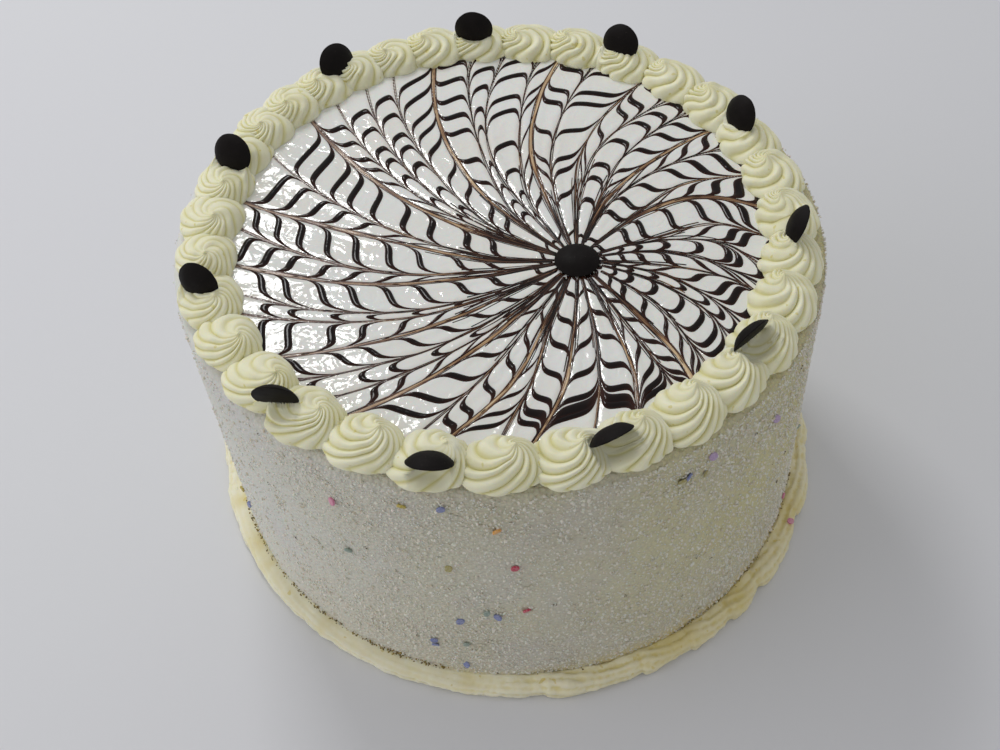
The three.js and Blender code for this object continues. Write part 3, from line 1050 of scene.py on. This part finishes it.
def web_point(cell, across, radius):
    """The point at that distance from the middle, between the same two strokes as before."""
    strokes = stroke_angles(radius)
    strokes = np.concatenate([strokes, strokes[..., :1] + TURN], -1)
    left = np.take_along_axis(strokes, cell[..., None], -1)[..., 0]
    right = np.take_along_axis(strokes, cell[..., None] + 1, -1)[..., 0]
    angle = left + (right - left) * across
    return WEB_X + radius * np.cos(angle), WEB_Y + radius * np.sin(angle)


def comb_nearness(x, y):
    """How close each point is to its nearest stroke, in metres."""
    radius = np.hypot(x - WEB_X, y - WEB_Y)
    angle = np.arctan2(y - WEB_Y, x - WEB_X)
    _, left, right, across = cell_of(angle, radius)
    width = (right - left) * radius
    return np.minimum(across, 1 - across) * width, radius


def glaze_height(x, y):
    """The glaze's surface: slow waves, and a groove with raised lips where the comb went."""
    distance, radius = comb_nearness(x, y)
    from_top = np.hypot(x - TOP_X, y)
    fade = np.clip((radius - 8 * MM) / (14 * MM), 0, 1) * np.clip((118 * MM - from_top) / (6 * MM), 0, 1)
    groove = -0.3 * np.exp(-(distance / (1.0 * MM)) ** 2)
    lips = 0.16 * np.exp(-(((distance - 2.6 * MM) / (1.3 * MM)) ** 2))
    waves = (0.10 * np.sin(x / (5.1 * MM) + 1.3 * np.sin(y / (9 * MM)))
             + 0.08 * np.sin(y / (4.3 * MM) + 1.7 * np.sin(x / (7.7 * MM)))
             + 0.10 * np.sin((x + y) / (11 * MM)))
    return TOP_Z - GLAZE_SINK + MM * fade * (groove + lips + waves)


GLAZE_ROUND = 840
GLAZE_OUTWARDS = 76


def build_glaze():
    """The poured glaze: rings about the web's middle, with a rounded edge and a flat underside."""
    angle = np.arange(GLAZE_ROUND) * TURN / GLAZE_ROUND
    edge = rim_distance(angle, GLAZE_RADIUS)
    share = np.linspace(0, 1, GLAZE_OUTWARDS + 1)[1:] ** 0.92
    radius = share[:, None] * edge[None]
    x = WEB_X + radius * np.cos(angle)
    y = WEB_Y + radius * np.sin(angle)
    rings = np.stack([x, y, glaze_height(x, y)], -1)
    skirt = []
    for inset, drop in ((0.0, 0.9), (0.25, 2.0), (0.4, GLAZE_SINK / MM * -1 + 3.0)):
        from_x = x[-1] - TOP_X
        scale = 1 - inset * MM / GLAZE_RADIUS
        z = np.full(GLAZE_ROUND, TOP_Z - GLAZE_SINK - drop * MM)
        skirt.append(np.stack([TOP_X + from_x * scale, y[-1] * scale, z], -1))
    rings = np.concatenate([rings, np.array(skirt)])
    rings[-1][:, 2] = BODY_TOP + 0.02 * MM
    rows = len(rings)
    points = rings.reshape(-1, 3)
    faces = grid_faces(rows, GLAZE_ROUND)
    middle = np.array([[WEB_X, WEB_Y, TOP_Z - GLAZE_SINK]])
    below = np.array([[TOP_X, 0, BODY_TOP + 0.02 * MM]])
    points = np.concatenate([points, middle, below])
    centre = len(points) - 2
    under = len(points) - 1
    faces += fan_faces(centre, 0, GLAZE_ROUND)
    faces += fan_faces(under, (rows - 1) * GLAZE_ROUND, GLAZE_ROUND, turned=True)
    glaze = mesh_piece("poured_glaze", points, faces)
    near, radius = comb_nearness(points[:, 0], points[:, 1])
    combed = np.exp(-(near / (0.9 * MM)) ** 2) * np.clip(radius / (60 * MM), 0, 1)
    paint_values(glaze, "combed", combed)
    finish(glaze, glaze_finish(), "glaze", "top_glaze")


def spiral_radius(turned):
    """The spiral's distance from the web's middle, at that many radians after its start."""
    return through(np.array(SPIRAL) * MM, turned / (TURN / 8))


def slow_noise(places, length, seed):
    """Smooth noise from -1 to 1 along a line, its hills about that long."""
    total = np.zeros_like(places)
    for k in range(1, 5):
        phase = math.sin(seed * 12.9898 + k * 78.233) * 43758.5453
        total += np.sin(places / length * TURN * (0.5 + 0.37 * k) + phase) / k
    return total / 2


def pull_of_strokes(cell, across, width, radius):
    """How far the comb dragged each point of the spiral in or out."""
    pulls = np.array(COMB)[:, 3]
    strength = 1 + 0.22 * np.sin(np.arange(len(COMB)) * 2.4)
    pulls = pulls * strength
    left_pull = pulls[cell]
    right_pull = pulls[(cell + 1) % len(COMB)]
    left = across * width
    right = (1 - across) * width
    size = np.clip(radius / (48 * MM), 0.12, 1)

    def fall(distance):
        return (STROKE_PULL * np.exp(-distance / (STROKE_REACH * (0.4 + 0.6 * size)))
                + DRAG_PULL * np.exp(-distance / (DRAG_REACH * size)))
    return size * (left_pull * fall(left) + right_pull * fall(right))


def build_web():
    """The chocolate line of the spiral, dragged in and out by the comb, as a low rounded bead."""
    end = math.radians(360 * 9 + 270 + 45)
    turned = np.linspace(0, end, 70000)
    radius = spiral_radius(turned)
    angle = turned + math.radians(SPIRAL_START)
    cell, left, right, across = cell_of(angle, radius)
    width = (right - left) * radius
    nearest = np.minimum(across, 1 - across) * width
    step = np.gradient(turned) * radius
    count = np.cumsum(step / np.minimum(0.13 * MM + 0.24 * nearest, 1.5 * MM))
    picked = np.unique(np.searchsorted(count, np.arange(0, count[-1], 1.0)).clip(0, len(turned) - 1))
    turned, radius, cell, across, width = (a[picked] for a in (turned, radius, cell, across, width))
    nearest = nearest[picked]
    pull = pull_of_strokes(cell, across, width, radius)
    length = np.cumsum(np.gradient(turned) * radius)
    slope = np.abs(np.gradient(pull, length, edge_order=1))
    thinness = 1 / np.sqrt(1 + slope ** 2)
    thick = LINE_WIDTH * (1 + 0.16 * slow_noise(length, 60 * MM, 3))
    thick *= np.clip(radius / (25 * MM), 0.6, 1)
    heavy = np.exp(-(((np.degrees(turned) + SPIRAL_START - (360 * 5 + 268)) / 14) ** 2))
    thick *= 1 + 0.8 * heavy
    high = LINE_HEIGHT * np.clip(thinness * 1.6, 0.25, 1)

    loops = np.empty((len(turned), len(LINE_PROFILE) + 2, 3))
    for k, (side, up) in enumerate(LINE_PROFILE):
        reach = np.maximum(radius + side * thick / 2 + pull, 8 * MM)
        x, y = web_point(cell, across, reach)
        loops[:, k, 0] = x
        loops[:, k, 1] = y
        loops[:, k, 2] = glaze_height(x, y) + high * up - 0.02 * MM
    loops[:, -2] = loops[:, 6] - (0, 0, 0.3 * MM)
    loops[:, -1] = loops[:, 0] - (0, 0, 0.3 * MM)
    middle = loops[:, 3]
    from_top = np.hypot(middle[:, 0] - TOP_X, middle[:, 1])
    shown = from_top < WEB_HIDDEN_EDGE
    edges = np.array([abs(side) for side, _ in LINE_PROFILE] + [1.0, 1.0])
    parts = []
    values = []
    thins = []
    start = None
    for i in range(len(shown) + 1):
        if i < len(shown) and shown[i]:
            start = i if start is None else start
        elif start is not None:
            if i - start > 4:
                parts.append(loft(loops[start:i]))
                values.append(np.tile(edges, i - start))
                thins.append(np.repeat(1 - thinness[start:i], len(edges)))
            start = None
    points, faces = join_parts(parts)
    web = mesh_piece("chocolate_web", points, faces)
    paint_values(web, "edge", np.concatenate(values))
    paint_values(web, "thin", np.concatenate(thins))
    finish(web, web_finish(), "chocolate")


def stroke_strip(index, shift, width, tan, start, seed, last=None):
    """One thread of a comb stroke, from near the middle to the rim unless it ends before, as a low bead."""
    if last is None:
        last = rim_distance(math.radians(COMB[index][2]), WEB_HIDDEN_EDGE)
    radius = np.arange(start, last, 1.4 * MM)
    angle = stroke_angles(radius)[:, index]
    offset = (shift + 0.35 * MM * slow_noise(radius, 55 * MM, seed)) * np.clip(radius / (45 * MM), 0.3, 1)
    angle = angle + offset / radius
    ahead = np.gradient(angle) / np.gradient(radius) * radius
    along = np.stack([np.cos(angle) - ahead * np.sin(angle), np.sin(angle) + ahead * np.cos(angle)], -1)
    along /= np.linalg.norm(along, axis=1)[:, None]
    side = np.stack([-along[:, 1], along[:, 0]], -1)
    grow = np.clip((radius - start) / (22 * MM), 0.25, 1)
    grow *= 1 + 0.3 * slow_noise(radius, 34 * MM, seed + 5)
    grow *= 1 + 0.3 * tan * np.clip((radius - 45 * MM) / (60 * MM), 0, 1)
    half = width / 2 * grow
    if shift == 0:
        half = half + POOLED_HALF * np.exp(-((radius - POOLED_RADIUS) / POOLED_REACH) ** 2)
    middle = np.stack([WEB_X + radius * np.cos(angle), WEB_Y + radius * np.sin(angle)], -1)
    profile = ((-1.0, 0.0), (-0.55, 0.8), (0.0, 1.0), (0.55, 0.8), (1.0, 0.0))
    loops = np.empty((len(radius), 7, 3))
    for k, (across, up) in enumerate(profile):
        spot = middle + side * (half * across)[:, None]
        loops[:, k, :2] = spot
        loops[:, k, 2] = glaze_height(spot[:, 0], spot[:, 1]) + 0.22 * MM * up
    loops[:, 5] = loops[:, 4] - (0, 0, 0.3 * MM)
    loops[:, 6] = loops[:, 0] - (0, 0, 0.3 * MM)
    radius = radius[:, None]
    half = half[:, None]
    ease = np.clip((radius - 24 * MM) / (30 * MM), 0, 1)
    tone = tan * ease * (0.98 + 0.3 * slow_noise(radius, 40 * MM, seed + 9))
    columns = np.array([0.1, 0.9, 1.0, 0.85, 0.1, 0.1, 0.1])
    sides = np.array([-1.0, -0.55, 0.0, 0.55, 1.0, 1.0, -1.0])
    lie = np.stack([half * sides + shift, radius + 0 * sides + index * 0.3, 0 * (radius * sides)], -1)
    return loft(loops), (tone * columns).ravel(), lie.reshape(-1, 3)


def build_comb_strokes():
    """Every stroke of the comb: a middle thread, dark hairs beside it and short ones near the middle."""
    parts = []
    tones = []
    lies = []
    for index, (_, _, _, _, width, tan) in enumerate(COMB):
        start = chance.uniform(6.8, 11) * MM
        threads = [(0.0, width * (1 - 0.25 * tan), tan, start, None)]
        hair = max(0.35, width * 0.3)
        for side in (-1, 1):
            begin = start + chance.uniform(0, 6) * MM
            threads.append((side * (width * 0.5 + 0.1), hair, tan * 0.2, begin, None))
        for side in (-1, 1):
            short = chance.uniform(34, 62) * MM
            shift = side * (width * 0.5 + chance.uniform(0.7, 1.3))
            begin = start + chance.uniform(0, 5) * MM
            threads.append((shift, SHORT_HAIR, 0.1, begin, short))
        for shift, wide, tone, begin, last in threads:
            seed = index * 3 + shift
            part, values, lie = stroke_strip(index, shift * MM, wide * MM, tone, begin, seed, last)
            parts.append(part)
            tones.append(values)
            lies.append(lie)
    points, faces = join_parts(parts)
    strokes = mesh_piece("comb_strokes", points, faces)
    paint_values(strokes, "tan", np.clip(np.concatenate(tones), 0, 1.2))
    # painted sheen on the strokes, growing towards the left
    paint_values(strokes, "left_sheen", np.clip((-20 * MM - points[:, 0]) / (50 * MM), 0, 1))
    paint_places(strokes, "lie", np.concatenate(lies))
    finish(strokes, comb_finish(), "chocolate")


# ---- The rosettes ----

ROSETTE_HALF_WIDTH = 14.5 * MM
ROSETTE_HALF_DEPTH = 12.2 * MM
ROSETTE_HEIGHT = 10.4 * MM

# A swirl is modelled about the origin: x runs along the ring and y towards the cake's middle.
SWIRL_TIP = (4.6 * MM, 2.4 * MM)
SWIRL_TWIST = 2.6
SWIRL_RIDGES = 10
RIDGE_COLUMNS = 14
RIDGE_DEPTH = 1.6 * MM
SWIRL_ROWS = 38
RIDGES_START = 0.55         # how far out the ridges reach their full depth, from 0 to 1 at the edge
TIP_LEAN = 0.7 * MM
LUMPINESS = 0.045

# A swirl's side view from its tip to its foot: how far out, from 0 to 1 at the edge, and how high.
SWIRL_PROFILE = (
    (0.0, 1.06), (0.04, 1.03), (0.1, 0.95), (0.2, 0.9), (0.34, 0.85), (0.5, 0.765), (0.65, 0.655),
    (0.79, 0.5), (0.9, 0.34), (0.97, 0.2), (1.0, 0.09), (0.98, 0.0),
)


def rosette_places():
    """Each rosette's middle, in order round the ring, and the room it has along the ring."""
    middles = []
    for name in ROSETTES:
        low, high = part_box(name)
        middles.append(((low + high) / 2).to_2d())
    spacings = []
    for i, middle in enumerate(middles):
        before = middles[i - 1]
        after = middles[(i + 1) % len(middles)]
        spacings.append(((middle - before).length + (after - middle).length) / 2)
    return list(zip(ROSETTES, middles, spacings))


def ridge_columns():
    """The angle at which each column of points leaves the tip, how deep it lies and how bold it is.

    The ridges that end at the rosette's inner side are the widest.
    """
    middles = (np.arange(SWIRL_RIDGES) + 0.5) * TURN / SWIRL_RIDGES
    widths = 1 + 0.45 * np.exp(-((middles - math.radians(230)) / math.radians(55)) ** 2)
    widths *= chance.uniform(0.72, 1.3, SWIRL_RIDGES)
    borders = np.concatenate([[0], np.cumsum(widths)]) * TURN / widths.sum()
    share = np.arange(RIDGE_COLUMNS) / RIDGE_COLUMNS
    angles = (borders[:-1, None] + np.diff(borders)[:, None] * share).ravel()
    depths = np.tile(np.abs(2 * share - 1) ** 1.8, SWIRL_RIDGES)
    boldness = np.repeat(chance.uniform(0.65, 1.2, SWIRL_RIDGES), RIDGE_COLUMNS)
    return angles, depths, boldness


def reach_to_edge(tip, angle, half_width, half_depth):
    """How far the edge of a full oval about the origin lies from the tip, in that direction."""
    x = np.cos(angle) / half_width
    y = np.sin(angle) / half_depth
    tip_x = tip[0] / half_width
    tip_y = tip[1] / half_depth
    a = x * x + y * y
    b = x * tip_x + y * tip_y
    c = tip_x ** 2 + tip_y ** 2 - 1
    fuller = 1 + 0.07 * np.sin(2 * angle) ** 2
    return fuller * (-b + np.sqrt(b * b - a * c)) / a


def grid_normals(grid):
    """The outward direction at each point of a grid whose rows run out and whose columns run round."""
    down = np.gradient(grid, axis=0)
    round_ = np.roll(grid, -1, axis=1) - np.roll(grid, 1, axis=1)
    normals = np.cross(down, round_)
    return normals / np.maximum(np.linalg.norm(normals, axis=-1, keepdims=True), 1e-12)


def pipe_swirl(half_width, half_depth, soft):
    """A swirl about the origin, as rows of points from its tip down to its foot, and how hollow each is."""
    tip_x = SWIRL_TIP[0] + float(chance.uniform(-1.4, 1.4)) * MM
    tip_y = SWIRL_TIP[1] + float(chance.uniform(-1.6, 1.2)) * MM
    twist = SWIRL_TWIST + float(chance.uniform(-0.3, 0.3))
    height = ROSETTE_HEIGHT * float(chance.uniform(0.93, 1.06))
    depth = RIDGE_DEPTH * (1 - 0.45 * soft ** 3) * float(chance.uniform(0.9, 1.1))
    angles, depths, boldness = ridge_columns()
    angles = angles + float(chance.uniform(0, TURN / SWIRL_RIDGES))

    steps = np.linspace(0, len(SWIRL_PROFILE) - 1, SWIRL_ROWS)[1:]
    out = through([0] + [share for share, _ in SWIRL_PROFILE] + [0.94], steps + 1)
    rise = through([1.06] + [share for _, share in SWIRL_PROFILE] + [0], steps + 1)
    wobble = 0.07 * np.sin(steps * 0.9 + float(chance.uniform(0, TURN)))
    angle = angles[None] - (twist * out + wobble)[:, None]
    reach = reach_to_edge((tip_x, tip_y), angle, half_width, half_depth) * out[:, None]
    grid = np.stack([tip_x + reach * np.cos(angle), tip_y + reach * np.sin(angle),
                     (height * rise)[:, None] + 0 * angle], -1)

    bold = (np.clip(out / RIDGES_START, 0, 1) ** 1.2)[:, None] * boldness[None]
    offset = depth * bold * (0.3 - depths[None])
    offset = offset * np.clip(rise / 0.1, 0.5, 1)[:, None]
    grid = grid + grid_normals(grid) * offset[..., None]
    grid[:, :, 0] += TIP_LEAN * np.exp(-(out / 0.08) ** 2)[:, None]
    phase = chance.uniform(0, TURN, 3)
    lump = (np.sin(grid[..., 0] * 420 + phase[0]) * np.sin(grid[..., 1] * 380 + phase[1])
            + 0.6 * np.sin(grid[..., 0] * 700 + grid[..., 1] * 610 + phase[2]))
    grid[..., 2] *= 1 + LUMPINESS * lump
    grid[..., 2] = np.maximum(grid[..., 2], 0)
    grid[-1, :, 2] = 0
    peak = (tip_x + TIP_LEAN, tip_y, height * 1.065)
    return grid, peak, bold * (2 * depths[None] - 1)


def build_rosette(name, middle, spacing, cream, discs):
    """One rosette: a mound whose ridges wind in from its foot to a tip on top."""
    outwards = math.atan2(middle.y, middle.x - TOP_X)
    behind = max(0.0, math.sin(outwards))
    soft = 0.5 - 0.5 * math.cos(outwards)
    half_width = max(ROSETTE_HALF_WIDTH * float(chance.uniform(0.95, 1.03)), spacing * 0.6)
    half_depth = (ROSETTE_HALF_DEPTH - 0.6 * MM * behind) * float(chance.uniform(0.96, 1.05))
    grid, peak, valley = pipe_swirl(half_width, half_depth, soft)

    rows, columns = grid.shape[:2]
    places = np.concatenate([grid.reshape(-1, 3), [peak, (0, 0, 0)]])
    faces = grid_faces(rows, columns)
    faces += fan_faces(rows * columns, 0, columns)
    faces += fan_faces(rows * columns + 1, (rows - 1) * columns, columns, turned=True)

    turn = Matrix.Rotation(outwards + math.pi / 2, 3, "Z")
    places = places @ np.array(turn).T
    shift = (-0.9 + 3.4 * behind ** 1.5) * MM
    places += (middle.x + shift * math.cos(outwards), middle.y + shift * math.sin(outwards),
               TOP_Z - GLAZE_SINK - 0.3 * MM)
    for disc in discs:
        places = press_disc(places, disc)
    piece = mesh_piece("piped_" + name, places, faces)
    # hollow marks the valleys that get the cream's painted shade
    paint_values(piece, "hollow", np.concatenate([valley.ravel(), [0, 0]]))
    paint_values(piece, "yellow", np.zeros(len(places)))
    finish(piece, cream, "cream", name)


def build_rosettes():
    # the second colour is the painted shade in the valleys
    cream = cream_finish("piped_cream", shade(240, 238, 209), shade(222, 216, 153), shade(212, 198, 84))
    discs = [disc_pose(name) + (sunk * MM, side, round_edge)
             for name, sunk, side, round_edge in SUNK_DISCS]
    for name, middle, spacing in rosette_places():
        build_rosette(name, middle, spacing, cream, discs)


# ---- The chocolate discs ----

DISC_SEGMENTS = 72
DISC_RIM = 0.4 * MM

# How far below each disc's middle the cream in front of it lies, in mm, and which of the disc's sides
# that is: 1 where its domed face looks and -1 behind it. Last, 1 where the cream's edge is round and 0
# where it is straight.
SUNK_DISCS = (
    ("disc_01", 5.0, 1, 1), ("disc_02", 3.3, 1, 1), ("disc_03", 6.6, -1, 1), ("disc_04", 7.8, -1, 1),
    ("disc_05", 7.8, -1, 1), ("disc_06", 7.6, -1, 1), ("disc_07", 4.5, 1, 1), ("disc_08", 3.9, 1, 1),
    ("disc_09", 3.4, 1, 1), ("disc_10", 5.5, 1, 1), ("disc_11", 2.3, 1, 1),
    ("disc_03", 3.4, 1, 0), ("disc_04", 3.4, 1, 0), ("disc_05", 3.4, 1, 0), ("disc_06", 3.4, 1, 0),
)


def press_disc(places, disc):
    """Fits the cream to a disc pushed into it: pressed down to the line where the disc goes in.

    In front of a domed face the cream also swells up to that line.
    """
    back, facing, radius, _, sunk, side, round_edge = disc
    facing = np.array(facing)
    sideways = np.cross((0, 0, 1), facing)
    sideways /= np.linalg.norm(sideways)
    up = np.cross(facing, sideways)
    away = places - np.array(back)
    across = np.abs(away @ sideways)
    rise = away @ up
    ahead = (away @ facing) * side
    bowl = np.sqrt(np.clip(1 - round_edge * (across / radius) ** 2, 0, 1))
    limit = -sunk * bowl + 0.25 * np.maximum(ahead, 0)
    over = np.maximum(rise - limit, 0)
    into = 1.0 * MM if side > 0 else 3.0 * MM
    near = np.clip((ahead + into) / (1.2 * MM), 0, 1) * np.clip((11 * MM - ahead) / (5 * MM), 0, 1)
    near *= np.clip((radius + 2.5 * MM - across) / (3.5 * MM), 0, 1)
    lift = -0.9 * over * near
    if side > 0:
        missing = np.clip(-sunk * bowl - 0.9 * np.maximum(ahead, 0) - rise, 0, 4.5 * MM)
        swell = np.clip((ahead + 0.5 * MM) / (0.5 * MM), 0, 1) * np.clip((6 * MM - ahead) / (2 * MM), 0, 1)
        swell *= np.clip((radius + 1.2 * MM - across) / (2 * MM), 0, 1)
        swell *= np.clip((places[:, 2] - TOP_Z) / (2 * MM), 0, 1)
        lift += 0.9 * missing * swell
    return places + lift[:, None] * up


def model_disc(radius, thickness):
    """One button: a ball pressed flat, cut off behind, its rim bevelled."""
    drop_selection()
    bpy.ops.mesh.primitive_uv_sphere_add(segments=DISC_SEGMENTS, ring_count=36, radius=radius)
    disc = bpy.context.object
    disc.scale = (1, 1, (thickness - DISC_RIM) / radius)
    apply_place(disc)
    bpy.ops.object.mode_set(mode="EDIT")
    bpy.ops.mesh.select_all(action="SELECT")
    bpy.ops.mesh.bisect(plane_co=(0, 0, 0), plane_no=(0, 0, 1), clear_inner=True, use_fill=True)
    bpy.ops.object.mode_set(mode="OBJECT")
    places = points_of(disc)
    rim = np.hypot(places[:, 0], places[:, 1]) / radius
    dome = (thickness - DISC_RIM) * (1 - np.clip(rim, 0, 1) ** 2.8)
    places[:, 2] = np.where(places[:, 2] > 1e-7, dome, 0) + DISC_RIM
    set_points(disc, places)
    bpy.ops.object.mode_set(mode="EDIT")
    bpy.ops.mesh.select_all(action="DESELECT")
    bpy.ops.object.mode_set(mode="OBJECT")
    back = max(disc.data.polygons, key=lambda face: len(face.vertices))
    back.select = True
    bpy.ops.object.mode_set(mode="EDIT")
    bpy.ops.mesh.select_mode(type="FACE")
    bpy.ops.mesh.extrude_region_move(TRANSFORM_OT_translate={"value": (0, 0, -DISC_RIM)})
    bpy.ops.mesh.bevel(offset=0.12 * MM, segments=2)
    bpy.ops.object.mode_set(mode="OBJECT")
    return disc


def disc_pose(name):
    """Where a disc's flat back is centred, which way its domed side faces, its radius and thickness."""
    places = np.unique(np.round(points_of(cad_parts[name]), 7), axis=0)
    middle = places.mean(0)
    _, _, axes = np.linalg.svd(places - middle)
    facing = axes[2]
    depth = (places - middle) @ facing
    across = np.linalg.norm((places - middle) - depth[:, None] * facing, axis=1)
    rim = across > 0.9 * across.max()
    if depth.max() - depth[rim].mean() < depth[rim].mean() - depth.min():
        facing = -facing
        depth = -depth
    back = middle + facing * depth.min()
    return Vector(back), Vector(facing), across.max(), depth.max() - depth.min()


def build_discs():
    chocolate = disc_finish()
    for name in DISCS:
        back, facing, radius, thickness = disc_pose(name)
        disc = model_disc(radius, thickness)
        disc.name = "chocolate_" + name
        disc.data.name = disc.name
        disc.rotation_mode = "QUATERNION"
        disc.rotation_quaternion = facing.to_track_quat("Z", "Y")
        disc.location = back
        apply_place(disc)
        roughen(disc, "pressed", 5 * MM, 0.35 * MM)
        apply_modifiers(disc)
        take(disc)
        bpy.ops.object.shade_smooth_by_angle(angle=math.radians(45))
        finish(disc, chocolate, "chocolate", name)


# ---- Stage ----

CAMERA_PLACE = Vector((0, -403.32, 540.70)) * MM
CAMERA_AIM = Vector((-5.94, -42.74, 100.0)) * MM
CAMERA_ROLL = math.radians(-1.705)
CAMERA_LENS = 50.26
SENSOR_WIDTH = 36

# Each soft light: its place, what it points at and its size, in metres; its power in watts; its colour;
# and whether glossy things mirror it.
LIGHTS = {
    "window": ((-0.42, 0.74, 1.10), (-0.02, 0, 0.12), (0.34, 0.34), 4.5, (1.0, 1.0, 1.0), True),
    "open_side": ((-1.35, -0.25, 0.75), (0, 0, 0.08), (1.1, 0.9), 4.8, (1.0, 0.99, 0.97), False),
}
ROOM_SHADE = shade(232, 232, 234)
ROOM_STRENGTH = 0.58
FLOOR_SIZE = 6
FLOOR_DROP = 0.2 * MM


def set_camera():
    drop_selection()
    bpy.ops.object.camera_add(location=CAMERA_PLACE)
    camera = bpy.context.object
    looking = (CAMERA_AIM - CAMERA_PLACE).to_track_quat("-Z", "Y")
    camera.rotation_mode = "QUATERNION"
    camera.rotation_quaternion = looking @ Quaternion((0, 0, 1), CAMERA_ROLL)
    camera.data.lens = CAMERA_LENS
    camera.data.sensor_width = SENSOR_WIDTH
    bpy.context.scene.camera = camera


def add_light(name, place, aim, size, power, colour):
    drop_selection()
    bpy.ops.object.light_add(type="AREA", location=place)
    light = bpy.context.object
    light.name = name
    light.rotation_mode = "QUATERNION"
    light.rotation_quaternion = (Vector(aim) - Vector(place)).to_track_quat("-Z", "Y")
    light.data.shape = "RECTANGLE"
    light.data.size = size[0]
    light.data.size_y = size[1]
    light.data.energy = power
    light.data.color = colour
    return light


def set_stage():
    drop_selection()
    bpy.ops.mesh.primitive_plane_add(size=FLOOR_SIZE, location=(0, 0, -FLOOR_DROP))
    floor = bpy.context.object
    floor.name = "floor"
    apply_place(floor)
    floor.data.materials.append(floor_finish())
    for name, (place, aim, size, power, colour, mirrored) in LIGHTS.items():
        light = add_light(name, place, aim, size, power, colour)
        light.visible_glossy = mirrored
    world = bpy.data.worlds.new("room")
    bpy.context.scene.world = world
    world.use_nodes = True
    background = world.node_tree.nodes["Background"]
    background.inputs["Color"].default_value = ROOM_SHADE
    background.inputs["Strength"].default_value = ROOM_STRENGTH
    view = bpy.context.scene.view_settings
    view.view_transform = "Standard"
    view.look = "None"


set_camera()
set_stage()
build_crumb_coat()
build_crumbs()
build_sugar_dots()
build_specks()
build_seam_crumbs()
# the second colour is the painted shade in the valleys
border_cream = cream_finish("border_cream", shade(242, 239, 217), shade(229, 219, 166), shade(212, 190, 84))
build_border(border_cream)
build_glaze()
build_web()
build_comb_strokes()
build_rosettes()
build_discs()
